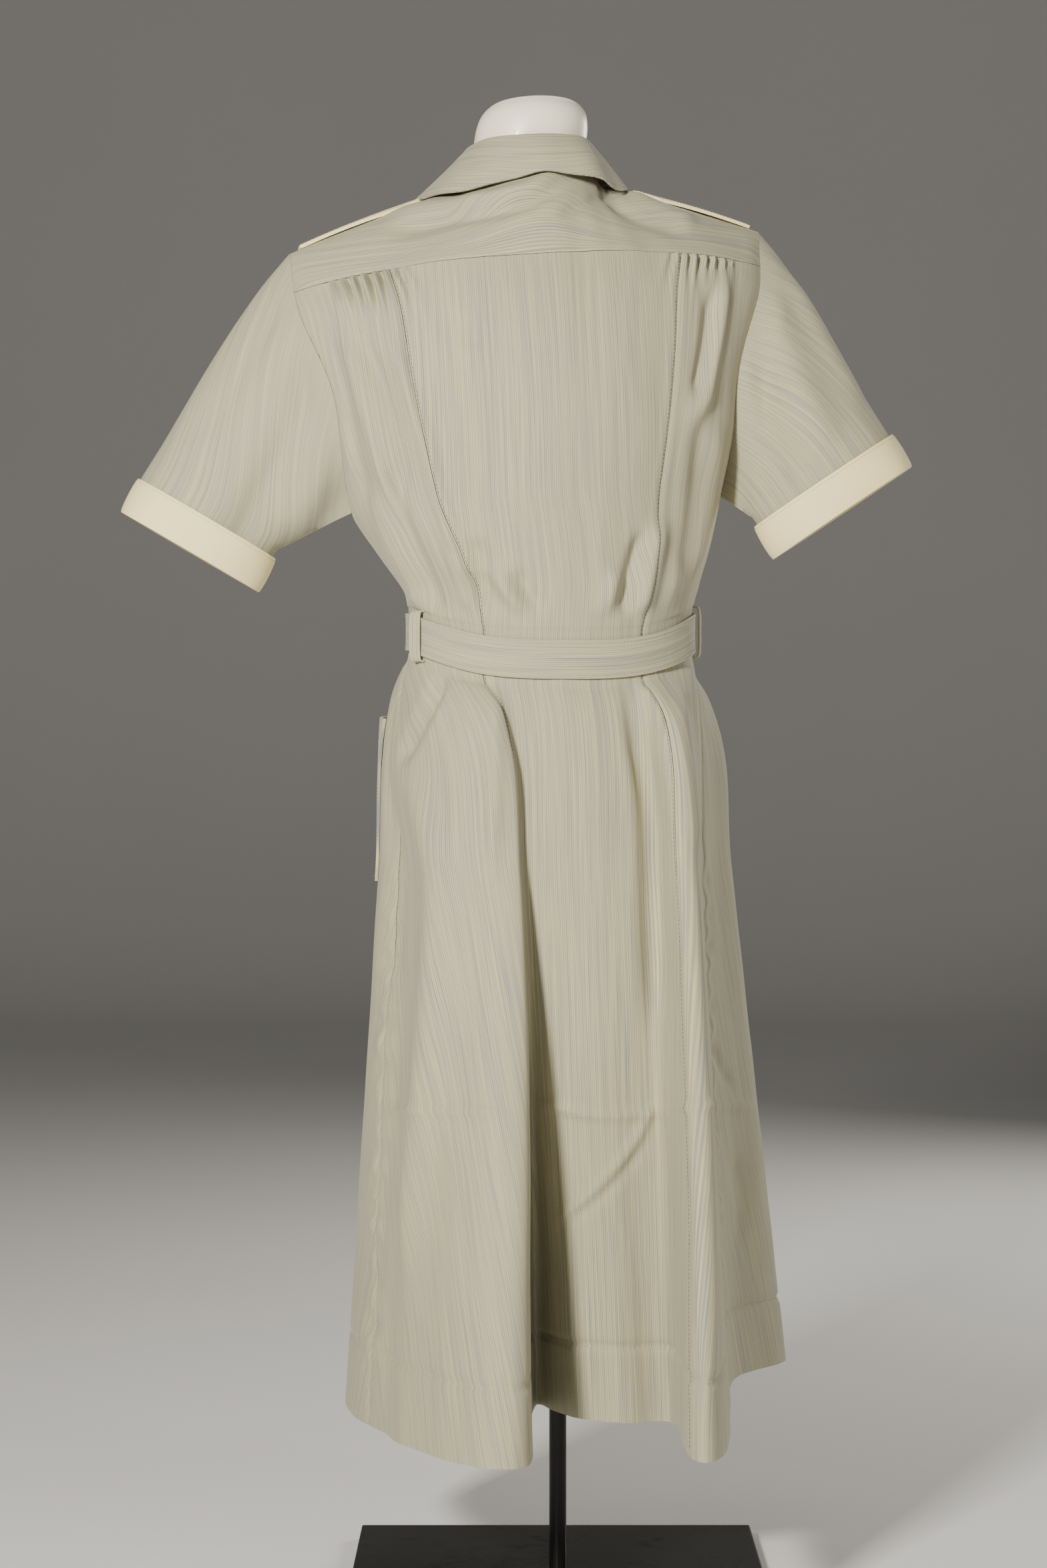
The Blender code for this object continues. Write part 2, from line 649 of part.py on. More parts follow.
def collar_grid():
    """Collar from its stand over the fold to the outer edge, one closed column each."""
    numbers = np.array([row[1:] for row in COLLAR_ROWS])
    keys = [row[0] for row in COLLAR_ROWS]
    columns = []
    for angle in np.linspace(-172, 172, 33):
        values = spline(keys, numbers, [abs(angle)])[0]
        side = np.array([math.copysign(1, angle), 1, 1])
        fold = values[:3] * side
        edge = values[3:] * side
        seam = neck_line(angle)
        out = np.array([edge[0] - fold[0], edge[1] - fold[1], 0.0])
        out = out / np.linalg.norm(out)
        stand_top = fold - out * 0.003 - np.array([0, 0, 0.005])
        fall_top = fold + out * 0.0055 - np.array([0, 0, 0.004])
        start = seam * 0.5 + stand_top * 0.5
        columns.append([lean(p) for p in (
            seam * 0.96 + stand_top * 0.04 - out * 0.001 + np.array([0, 0, 0.0006]),
            start, stand_top, fold + out * 0.001,
            fall_top, (fall_top + edge) / 2 + np.array([0, 0, 0.001]), edge)])
    return np.array(columns).transpose(1, 0, 2)[:, ::-1]


def strap_grid(side):
    """Shoulder strap, arched a little over the front slope of the shoulder."""
    places = np.linspace(0.56, 0.965, 8)
    columns = []
    for k, share in enumerate(places):
        arch = STRAP_ARCH * math.sin(math.pi * k / (len(places) - 1))
        point = 0.10 if k == 0 else 0.0
        columns.append([lean(yoke_point(side * share, r) + np.array([0, 0, STRAP_LIFT + arch]))
                        for r in np.linspace(0.06 + point, 0.46 - point, 4)])
    grid = np.array(columns).transpose(1, 0, 2)
    return grid if side < 0 else grid[:, ::-1]


def belt_grid():
    """Belt band; its free end laps over its start at the front."""
    end = line_number("centre front end")
    places = [0.25] + list(np.arange(0.5, end + 0.1, 0.5)) + [end + 0.5, end + 1.0, end + 1.5]
    lift = np.interp(places, [0, end - 1.5, end, end + 2], [0, 0, 1, 1])
    angles = [float(spline(range(end + 1), [row[1] for row in SKIRT_LINES], [s % end
              if s != end else end])[0]) for s in places]
    rows = []
    for height in (1, 0, -1):
        rows.append([lean(waist_point(a) + np.array([0, 0, height * BELT_HEIGHT / 2]))
                     for a in angles])
    grid = np.array(rows)
    normals = grid_normals(grid)
    normals[..., 2] = 0.0
    normals /= np.linalg.norm(normals, axis=-1, keepdims=True)
    away = CLOTH + 2 * SEAM_GAP + lift * (CLOTH + SEAM_GAP)
    return grid + normals * away[None, :, None]


def loop_grid(side):
    """Belt loop on a side seam, standing off the belt."""
    angle = BELT_LOOP_ANGLES[side]
    facing = lean(np.array([math.sin(math.radians(angle)), math.cos(math.radians(angle)), 0]))
    facing = facing - lean(np.zeros(3))
    along = np.array([-facing[1], facing[0], 0.0])
    # height above the belt's middle, distance of the outer face from the cloth
    profile = ((0.0235, 0.0019), (0.0200, 0.0075), (0.0, 0.0085), (-0.0195, 0.0075),
               (-0.0225, 0.0017))
    rows = []
    for height, away in profile:
        row = []
        for step in (-0.0035, 0.0035):
            base = lean(waist_point(angle) + np.array([0, 0, height]))
            row.append(base + facing * away + along * step)
        rows.append(row)
    return np.array(rows)


def pocket_grid(side):
    """Patch pocket on a front beside the side seam, gaping at its top edge."""
    places = np.linspace(2.5, 4.5, 5) if side > 0 else np.linspace(26.0, 28.0, 5)
    grid = np.array([[skirt_point(s, t) for s in places] for t in POCKET_STEPS])
    normals = grid_normals(grid)
    across = np.sin(math.pi * np.linspace(0, 1, len(places)))
    gape = np.array(POCKET_GAPE)
    away = CLOTH + 2 * SEAM_GAP + gape[:, None] * across[None, :]
    return grid + normals * away[..., None]


def form_mesh():
    """Limbless torso with its neck block, one smooth closed body."""
    rows = []
    for z, width, depth, middle, square in FORM_ROWS:
        turn = np.linspace(0, 2 * math.pi, FORM_SIDES, endpoint=False)
        x = width * np.sign(np.cos(turn)) * np.abs(np.cos(turn)) ** (2 / square)
        y = middle + depth * np.sign(np.sin(turn)) * np.abs(np.sin(turn)) ** (2 / square)
        rows.append(lean(np.stack([x, y, np.full_like(x, z)], axis=-1)))
    grid = np.array(rows)
    count = len(rows) * FORM_SIDES
    vertices = [tuple(p) for p in grid.reshape(-1, 3)]
    faces = []
    for r in range(len(rows) - 1):
        for c in range(FORM_SIDES):
            d = (c + 1) % FORM_SIDES
            faces.append((r * FORM_SIDES + c, r * FORM_SIDES + d,
                          (r + 1) * FORM_SIDES + d, (r + 1) * FORM_SIDES + c))
    faces.append(tuple(range(FORM_SIDES))[::-1])
    faces.append(tuple(range(count - FORM_SIDES, count)))
    mesh = bpy.data.meshes.new("form_torso")
    mesh.from_pydata(vertices, [], faces)
    return finish_mesh(mesh)


def cylinder_mesh(name, radius, height, sides):
    """Upright cylinder standing on its own origin."""
    mesh = bpy.data.meshes.new(name)
    work = bmesh.new()
    bmesh.ops.create_cone(work, cap_ends=True, segments=sides, radius1=radius,
                          radius2=radius, depth=height)
    bmesh.ops.translate(work, verts=work.verts, vec=(0, 0, height / 2))
    work.to_mesh(mesh)
    work.free()
    return mesh


def make_stand():
    """Base plate and pole under the form."""
    mesh = bpy.data.meshes.new("stand_base")
    work = bmesh.new()
    bmesh.ops.create_cube(work, size=1.0)
    bmesh.ops.scale(work, verts=work.verts, vec=(PLATE_SIZE, PLATE_SIZE, PLATE_HEIGHT))
    bmesh.ops.translate(work, verts=work.verts, vec=(0, 0, PLATE_HEIGHT / 2))
    work.to_mesh(mesh)
    work.free()
    base = new_object("stand_base", mesh, "dark_steel")
    bevel = base.modifiers.new("edges", "BEVEL")
    bevel.width = 0.0015
    bevel.segments = 2
    start = PLATE_HEIGHT + STAND_GAP
    pole = new_object("stand_pole", cylinder_mesh(
        "stand_pole", POLE_RADIUS, FORM_BOTTOM - STAND_GAP - start, 24), "dark_steel")
    pole.location = (0, 0, start)
    new_object("form_torso", form_mesh(), "form_cover")


def make_buttons(front):
    """Front buttons on the overlapping right front."""
    column = [i for i, s in enumerate(centre_front_columns(-1)[0])
              if s == line_number("centre front end")][0]
    line = front[:, column]
    normals = grid_normals(front)[:, column]
    heights = list(BODICE_BUTTONS) + list(SKIRT_BUTTONS)
    for number, height in enumerate(heights):
        order = np.argsort(line[:, 2])
        place = np.array([np.interp(height, line[order, 2], line[order, k]) for k in range(3)])
        facing = np.array([np.interp(height, line[order, 2], normals[order, k])
                           for k in range(3)])
        facing = facing / np.linalg.norm(facing)
        name = f"button_{number + 1}"
        mesh = cylinder_mesh(name, BUTTON_RADIUS, BUTTON_HEIGHT, 16)
        button = new_object(name, mesh, "pearl_plastic")
        flat = math.atan2(facing[1], facing[0])
        slope = math.acos(facing[2])
        button.rotation_euler = (0.0, slope, flat)
        button.location = tuple(place + facing * BUTTON_LIFT)


def make_buckle():
    """Slide buckle: a plain rectangular frame in front of the belt."""
    corners = np.array([(-1, 1), (-1, -1), (1, -1), (1, 1)])
    outer = corners * np.array(BUCKLE_HALF_SIZE)
    inner = outer * np.array(BUCKLE_HOLE)
    centre = lean(waist_point(BUCKLE_ANGLE))
    vertices = []
    for depth in (BUCKLE_AWAY, BUCKLE_AWAY + BUCKLE_THICK):
        for x, z in list(outer) + list(inner):
            vertices.append((centre[0] + x, centre[1] - depth, centre[2] + z))
    faces = []
    for k in range(4):
        n = (k + 1) % 4
        faces += [(k, n, 4 + n, 4 + k), (8 + n, 8 + k, 12 + k, 12 + n),
                  (n, k, 8 + k, 8 + n), (4 + k, 4 + n, 12 + n, 12 + k)]
    mesh = bpy.data.meshes.new("belt_buckle")
    mesh.from_pydata(vertices, [], faces)
    new_object("belt_buckle", finish_mesh(mesh), "pearl_plastic")


def main():
    """Build every piece of the dress and its stand."""
    for item in list(bpy.data.objects):
        bpy.data.objects.remove(item, do_unlink=True)
    collection = bpy.data.collections.new("nurse_uniform_dress")
    bpy.context.scene.collection.children.link(collection)
    gap = SEAM_GAP
    all_round = (gap, 0, gap, gap)
    back_places = np.arange(line_number("side left"), line_number("side right") + 0.1, 0.5)
    right_front = front_grid(-1)
    walls = [
        ("back_side_left", panel_grid("side left", "princess left"), all_round, False,
         "striped_cotton"),
        ("back_center", panel_grid("princess left", "princess right"), all_round, False,
         "striped_cotton"),
        ("back_side_right", panel_grid("princess right", "side right"), all_round, False,
         "striped_cotton"),
        ("front_left", front_grid(1), (2 * gap, 0, 0, gap), False, "striped_cotton"),
        ("front_right", right_front, (2 * gap, 0, gap, 0), False, "striped_cotton"),
        ("back_yoke", yoke_grid(back_places), (2 * gap, gap, gap, gap), False,
         "striped_cotton"),
    ]
    seams = Seams()
    make_sleeves(walls)
    for name, grid, amounts, closed, finish in walls:
        if not name.startswith("cuff"):
            seams.add(grid, grid_normals(grid, closed), closed)
    for top in (yoke_grid(back_places)[0], front_grid(1)[0], right_front[0]):
        outside = [p for p in top if abs(p[0] - NECK_SHIFT) > NECK_HALF_WIDTH]
        seams.fix(outside, SHOULDER_FACING)
    plain = (0, 0, 0, 0)
    for side, name in ((1, "left"), (-1, "right")):
        walls.append((f"shoulder_strap_{name}", strap_grid(side), plain, False, "cream_cotton"))
        walls.append((f"belt_loop_{name}", loop_grid(side), plain, False, "striped_cotton"))
        walls.append((f"pocket_{name}", pocket_grid(side), plain, False, "striped_cotton"))
    walls.append(("collar", collar_grid(), plain, False, "striped_cotton"))
    walls.append(("belt", belt_grid(), plain, False, "striped_cotton"))
    for name, grid, amounts, closed, finish in walls:
        normals = grid_normals(grid, closed)
        inner = inner_grid(grid, normals, seams, closed)
        mesh = wall_mesh(name, trim(grid, amounts, closed), trim(inner, amounts, closed), closed)
        new_object(name, mesh, finish)
    make_buttons(right_front)
    make_buckle()
    make_stand()


main()
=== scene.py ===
"""Looks of a nurse uniform dress on its limbless dress form, laid out as a Blender add-on.

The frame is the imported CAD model.  Every cloth piece here is a thin shell made
from the same form tables as the CAD solid that it replaces, with the gathers,
folds and creases that the cloth shows.  Metres, +Z up, the back faces +Y.
"""
import math

import bmesh
import bpy
import mathutils
import numpy as np
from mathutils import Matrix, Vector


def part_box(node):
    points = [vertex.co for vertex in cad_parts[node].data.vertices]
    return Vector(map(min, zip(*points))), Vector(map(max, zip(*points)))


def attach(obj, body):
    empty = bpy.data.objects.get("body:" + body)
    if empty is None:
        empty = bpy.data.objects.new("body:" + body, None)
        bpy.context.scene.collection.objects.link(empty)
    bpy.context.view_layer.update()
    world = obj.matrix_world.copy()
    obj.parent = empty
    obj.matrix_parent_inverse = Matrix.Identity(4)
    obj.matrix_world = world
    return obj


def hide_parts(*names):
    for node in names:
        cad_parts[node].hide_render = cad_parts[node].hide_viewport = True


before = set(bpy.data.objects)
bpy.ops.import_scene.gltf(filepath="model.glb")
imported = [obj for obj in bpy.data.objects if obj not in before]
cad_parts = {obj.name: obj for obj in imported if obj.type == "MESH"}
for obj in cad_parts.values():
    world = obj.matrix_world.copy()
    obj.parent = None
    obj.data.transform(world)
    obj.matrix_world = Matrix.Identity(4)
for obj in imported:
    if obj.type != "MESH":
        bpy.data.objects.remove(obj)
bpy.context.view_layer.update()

bl_info = {
    "name": "Nurse uniform dress",
    "version": (1, 0, 0),
    "blender": (4, 5, 0),
    "location": "View3D > Sidebar > Dress",
    "description": "Builds the cloth, trimmings and stage of a nurse uniform dress on its form",
    "category": "Object",
}


# Sizes and form tables, as in the part's source
CLOTH = 0.002
SEAM_GAP = 0.0004
LAYER = CLOTH + 2 * SEAM_GAP
TURN = math.radians(7.0)
TILT = math.radians(4.2)
WAIST_Z = 0.833
BELT_SAG = 0.027
BELT_HEIGHT = 0.033
BELT_ZONE = 0.019
MID_Z = 0.62
HIP_DROP = 0.036
HIP_SHARE = 0.58
ARMPIT_ROW = 5
BELT_ROW = 8
UPPER_ROWS = 8
SKIRT_STEPS = (0.0, 0.035, 0.085, 0.14, 0.21, 0.30, 0.42, 0.56, 0.71, 0.86, 1.0)
POCKET_STEPS = SKIRT_STEPS[2:6]
POCKET_GAPE = (0.011, 0.0055, 0.0015, 0.0)
YOKE_ROWS = 5
SLEEVE_ROWS = 7
WAIST_PRINCESS = 33.0
FORM_BOTTOM = 0.60

# Sections of the back, from the yoke seam to the belt
# name, centre z, centre y, princess x, edge x, edge y, edge z, roundness
BACK_ROWS = (
    ("yoke seam", 1.151, 0.088, 0.126, 0.2050, 0.020, 1.139, 0.25),
    ("blade top", 1.115, 0.100, 0.119, 0.200, 0.030, 1.113, 0.25),
    ("blade", 1.068, 0.109, 0.114, 0.183, 0.040, 1.068, 0.30),
    ("low blade", 1.030, 0.112, 0.109, 0.175, 0.040, 1.035, 0.40),
    ("underarm", 0.990, 0.112, 0.102, 0.171, 0.028, 0.990, 0.60),
    ("armpit", 0.945, 0.109, 0.0935, 0.163, -0.003, 0.945, 0.90),
    ("blouse", 0.905, 0.105, 0.084, 0.146, 0.0, 0.905, 1.0),
    ("pinch", 0.862, 0.097, 0.0735, 0.130, 0.0, 0.872, 1.0),
    ("belt", 0.825, 0.0885, 0.0680, 0.1245, 0.0, 0.852, 1.0),
)

# Sections of the fronts, with the same edge below the armpit
# name, centre z, centre y, edge x, edge y, edge z, roundness
FRONT_ROWS = (
    ("shoulder seam", 1.165, -0.066, 0.210, -0.022, 1.160, 0.2),
    ("chest top", 1.135, -0.088, 0.190, -0.045, 1.122, 0.2),
    ("chest", 1.090, -0.112, 0.172, -0.060, 1.075, 0.3),
    ("bust", 1.040, -0.127, 0.163, -0.062, 1.035, 0.4),
    ("low bust", 0.990, -0.128, 0.161, -0.045, 0.990, 0.6),
    ("armpit", 0.940, -0.120, 0.163, -0.003, 0.945, 0.9),
    ("ribs", 0.905, -0.111, 0.146, 0.0, 0.905, 1.0),
    ("pinch", 0.872, -0.102, 0.130, 0.0, 0.872, 1.0),
    ("belt", 0.852, -0.095, 0.1245, 0.0, 0.852, 1.0),
)

# Lines that run from the belt to the hem, round the skirt from the centre front
# name, angle at the waist in degrees, mid x, mid y, hem x, hem y, hem z
SKIRT_LINES = (
    ("centre front", 180, 0.000, -0.150, 0.000, -0.262, 0.157),
    ("front left inner", 160, 0.047, -0.150, 0.062, -0.285, 0.154),
    ("front left fold", 142, 0.090, -0.140, 0.118, -0.262, 0.150),
    ("front left dip", 125, 0.127, -0.106, 0.150, -0.190, 0.150),
    ("front left outer", 108, 0.155, -0.055, 0.186, -0.105, 0.148),
    ("left outline", 98, 0.157, -0.012, 0.184, -0.020, 0.147),
    ("side left", 90, 0.1456, 0.022, 0.164, 0.045, 0.147),
    ("left dip", 76, 0.128, 0.050, 0.149, 0.080, 0.147),
    ("left ridge", 60, 0.108, 0.090, 0.138, 0.120, 0.147),
    ("lobe one", 52, 0.092, 0.108, 0.1135, 0.165, 0.147),
    ("lobe two", 46, 0.075, 0.118, 0.093, 0.202, 0.147),
    ("lobe three", 41, 0.056, 0.126, 0.058, 0.236, 0.147),
    ("lobe edge", 37, 0.034, 0.124, 0.026, 0.222, 0.147),
    ("princess left", 33, 0.0325, 0.111, 0.0235, 0.130, 0.152),
    ("fold root", 28, 0.030, 0.101, 0.020, 0.030, 0.161),
    ("recess left", 18, 0.016, 0.101, 0.003, 0.058, 0.161),
    ("recess middle", 4, -0.008, 0.104, -0.020, 0.088, 0.160),
    ("recess right", -10, -0.034, 0.103, -0.055, 0.096, 0.158),
    ("right slope", -22, -0.060, 0.096, -0.085, 0.082, 0.157),
    ("right dip", -29, -0.080, 0.090, -0.100, 0.100, 0.156),
    ("princess right", -34, -0.1035, 0.116, -0.1055, 0.206, 0.151),
    ("right ridge", -39, -0.113, 0.112, -0.122, 0.224, 0.150),
    ("right fold side", -46, -0.121, 0.085, -0.138, 0.175, 0.152),
    ("hidden dip", -64, -0.122, 0.045, -0.148, 0.045, 0.158),
    ("side right", -90, -0.127, 0.010, -0.152, -0.035, 0.161),
    ("right front", -102, -0.143, -0.035, -0.166, -0.100, 0.165),
    ("right outline", -116, -0.156, -0.088, -0.216, -0.212, 0.160),
    ("front right fold", -136, -0.113, -0.135, -0.168, -0.280, 0.157),
    ("front right inner", -158, -0.055, -0.151, -0.076, -0.264, 0.155),
    ("centre front end", -180, 0.000, -0.150, 0.000, -0.262, 0.157),
)

# How far the upper body leans on the form: z, sideways shift, share of the tilt
LEAN_ROWS = (
    ("floor", 0.0, 0.006, 0.0),
    ("belt", 0.83, 0.006, 0.0),
    ("pinch", 0.87, 0.006, 0.2),
    ("armpit", 0.945, 0.018, 0.75),
    ("blade", 1.03, 0.022, 1.0),
    ("yoke", 1.15, 0.028, 1.0),
    ("neck", 1.25, 0.026, 0.6),
    ("top", 1.40, 0.008, 0.3),
)

# Sleeve ends in the frame of the stand
# name, side, outer x, outer z, inner x, inner z, middle y, half depth
SLEEVE_ENDS = (
    ("left", 1, 0.368, 0.968, 0.248, 0.898, -0.004, 0.050),
    ("right", -1, -0.294, 1.007, -0.173, 0.926, -0.006, 0.050),
)
CUFF_DROP = 0.033
CUFF_ROLL = 0.0016

# Rows of the yoke's edge between the back seam and the shoulder point of an armhole
SHOULDER_STEP = 3

# Neck: half width, middle, the yoke's share at its corner, the corner's angle from the
# centre back, the share of a front that is neckline, and the sweep and centre of that line
NECK_HALF_WIDTH = 0.062
NECK_Y = 0.002
NECK_SHARE = 0.46
NECK_CORNER_ANGLE = 112.0
NECK_FRONT_SHARE = 0.34
NECKLINE_SWEEP = math.radians(75)
NECKLINE_CENTRE = (0.0, -0.066, 1.178)

# Dress form sections: z, half width, half depth, middle y, squareness
FORM_ROWS = (
    (FORM_BOTTOM, 0.082, 0.060, -0.006, 2.3),
    (0.615, 0.104, 0.072, -0.006, 2.3),
    (0.66, 0.119, 0.080, -0.006, 2.3),
    (0.72, 0.118, 0.080, -0.006, 2.3),
    (0.79, 0.108, 0.073, -0.005, 2.3),
    (0.85, 0.103, 0.071, -0.005, 2.3),
    (0.91, 0.118, 0.082, -0.006, 2.3),
    (0.98, 0.138, 0.096, -0.008, 2.4),
    (1.04, 0.148, 0.092, -0.006, 2.5),
    (1.095, 0.158, 0.077, 0.000, 2.6),
    (1.130, 0.165, 0.062, 0.004, 2.6),
    (1.158, 0.160, 0.050, 0.005, 2.5),
    (1.176, 0.140, 0.043, 0.005, 2.3),
    (1.191, 0.112, 0.040, 0.005, 2.2),
    (1.202, 0.085, 0.040, 0.005, 2.1),
    (1.213, 0.064, 0.041, 0.005, 2.0),
    (1.232, 0.0525, 0.043, 0.005, 2.0),
    (1.250, 0.0495, 0.044, 0.004, 2.0),
    (1.272, 0.0490, 0.045, 0.004, 2.0),
    (1.286, 0.0450, 0.042, 0.004, 2.0),
    (1.295, 0.0350, 0.033, 0.004, 2.0),
    (1.299, 0.0190, 0.018, 0.004, 2.0),
)

# Neck seam, by the angle from the centre back: height there, how much lower it is at the
# sides and at the front, and its depth
NECK_TOP = 1.229
NECK_SIDE_DROP = 0.005
NECK_FRONT_DROP = 0.002
NECK_DEPTH = 0.058

# How far the yoke swells: out at the back, up at the centre, and more at the shoulders
YOKE_OUT = 0.007
YOKE_RISE = 0.003
YOKE_SHOULDER_RISE = 0.021

# Ring round the neck plug: x, y, how far it is below the top, its radius, and the distances
# from it where its dark line starts to fade and ends
PLUG_PLACE = (0.0208, 0.047)
PLUG_DROP = 0.049
PLUG_RADIUS = 0.0125
PLUG_RING = (0.0002, 0.0011)

# Waves of the weave in radians a metre: striped cotton along V and along U, cream cotton
PICK_RATE = 1900.0
WARP_RATE = 3900.0
CREAM_RATE = 7000.0

# Sleeve under its cuff: where it ends, and how far it goes on inside; then how strongly it
# leaves the body, outwards with a drop
SLEEVE_END = -0.006
SLEEVE_TUCK = 0.010
SLEEVE_PULL = 0.75
SLEEVE_SPRING = 0.22
SLEEVE_DROP = 0.35

# Ripples of edges: height, rate and start of each wave
BELT_WAVES = ((0.0006, 24.0, 0.6), (0.0004, 51.0, 0.0))
CUFF_WAVES = ((0.0018, 3.0, 1.0), (0.0012, 5.0, 2.0))
COLLAR_WAVES = ((0.0011, 13.0, 0.0), (0.0008, 29.0, 1.0))

# How squarely the cloth has to face the back before a crease of the photograph shows on it,
# and the share of a crease's length in which it fades
CREASE_FACING = (0.12, 0.45)
CREASE_FADE = (-0.02, 0.22)
WAVE_HEIGHT = 0.0006

# Wall of each small piece, where it isn't the dress cloth's
WALLS = {"cuff": 0.0019, "collar": 0.0016, "shoulder_strap": 0.0027, "belt": 0.0018,
         "belt_loop": 0.0016, "pocket": 0.0024}

# How far the borders draw back: top, bottom, left and right
BACK_TRIMS = (0.0003, 0, 0.0003, 0.0003)
FRONT_TRIMS = {1: (0.0008, 0, 0, 0.0003), -1: (0.0008, 0, 0.0003, 0)}
YOKE_TRIMS = (0.0006, 0.0002, 0.0002, 0.0002)
SLEEVE_TRIMS = (0.0001, 0, 0, 0)

# Where the folds fade out: distance from the armhole, and from the middle of the belt
ARMHOLE_ZONE = (0.003, 0.028)
FLAT_AT_BELT = (0.014, 0.034)

# Fronts, by the count of skirt lines: how far each laps past the centre front, and where
# the left one comes out from under the right one
LEFT_LAP = 0.35
RIGHT_LAP = 0.25
LAP_ZONE = (0.95, 1.45)

# Grooves, ridges and ripples along the seams: height and half width
HEM_SWELL = 0.0004
HEM_STEP = 0.004
HEM_GROOVE = (0.0024, 0.0030)
SEAM_GROOVE = (0.0007, 0.0020)
SEAM_RIDGE = (0.0003, 0.0026)
SEAM_RIDGE_PLACE = 0.0060
PUCKER = (0.0013, 0.009)
PUCKER_GROOVE = (0.0008, 0.0030)
PUCKER_FROM = (0.02, 0.06)
PUCKER_TO = (0.55, 0.15)
YOKE_ROLL = (0.0009, 0.0035)
BELT_RIM = (0.0004, 0.08)

# The gathers on the left are higher and reach further down than those on the right
LEFT_GATHER_HEIGHT = 2.1
LEFT_GATHER_FADE = 0.7

# Share of height and of depth in the level that the yoke's stripes follow
YOKE_LEVEL = (0.35, 1.25)

# Collar: tops of stand and fall from the fold, outwards and up; then how far its edge
# stays off the yoke, where it stops following the yoke, and how that is smoothed
STAND_TOP = (-0.003, -0.005)
FALL_TOP = (0.0055, -0.004)
FOLD_OUT = 0.001
COLLAR_CLEAR = 0.0044
COLLAR_REACH = (0.016, 0.030)
COLLAR_SMOOTHING = (0.06, 0.12, 0.20, 0.24, 0.20, 0.12, 0.06)

# Shoulder straps: shares across and down the yoke, taper at the point, lift and arch
STRAP_SPAN = (0.56, 0.965)
STRAP_DEPTH = (0.06, 0.46)
STRAP_POINT = 0.10
STRAP_LIFT = 0.0036
STRAP_ARCH = 0.0012

# Belt loops: side to angle round the waist and twist in degrees; height and distance out
BELT_LOOPS = {1: (68.0, 42.0), -1: (-90.0, -20.0)}
LOOP_HALF_WIDTH = 0.0048
LOOP_AWAY = 0.0085
LOOP_PROFILE = ((0.0235, 0.0019), (0.0200, 0.0075), (0.0, LOOP_AWAY), (-0.0195, 0.0075),
                (-0.0225, 0.0017))

# Pockets: side to the skirt line where the pocket starts, and its width in lines
POCKET_STARTS = {1: 2.5, -1: 26.0}
POCKET_LINES = 2

UP = np.array([0.0, 0.0, 1.0])

# Fineness of the cloth
LINE_STEPS = 3
UPPER_STEPS = 36
LOWER_STEPS = 56
REFINE_COLUMNS = 4
REFINE_ROWS = 3

# The photograph's view
IMAGE_SIZE = (1568, 2349)
CAMERA_PLACE = (0.030, 3.0, 0.70)
FOCAL_PIXELS = 5128.0

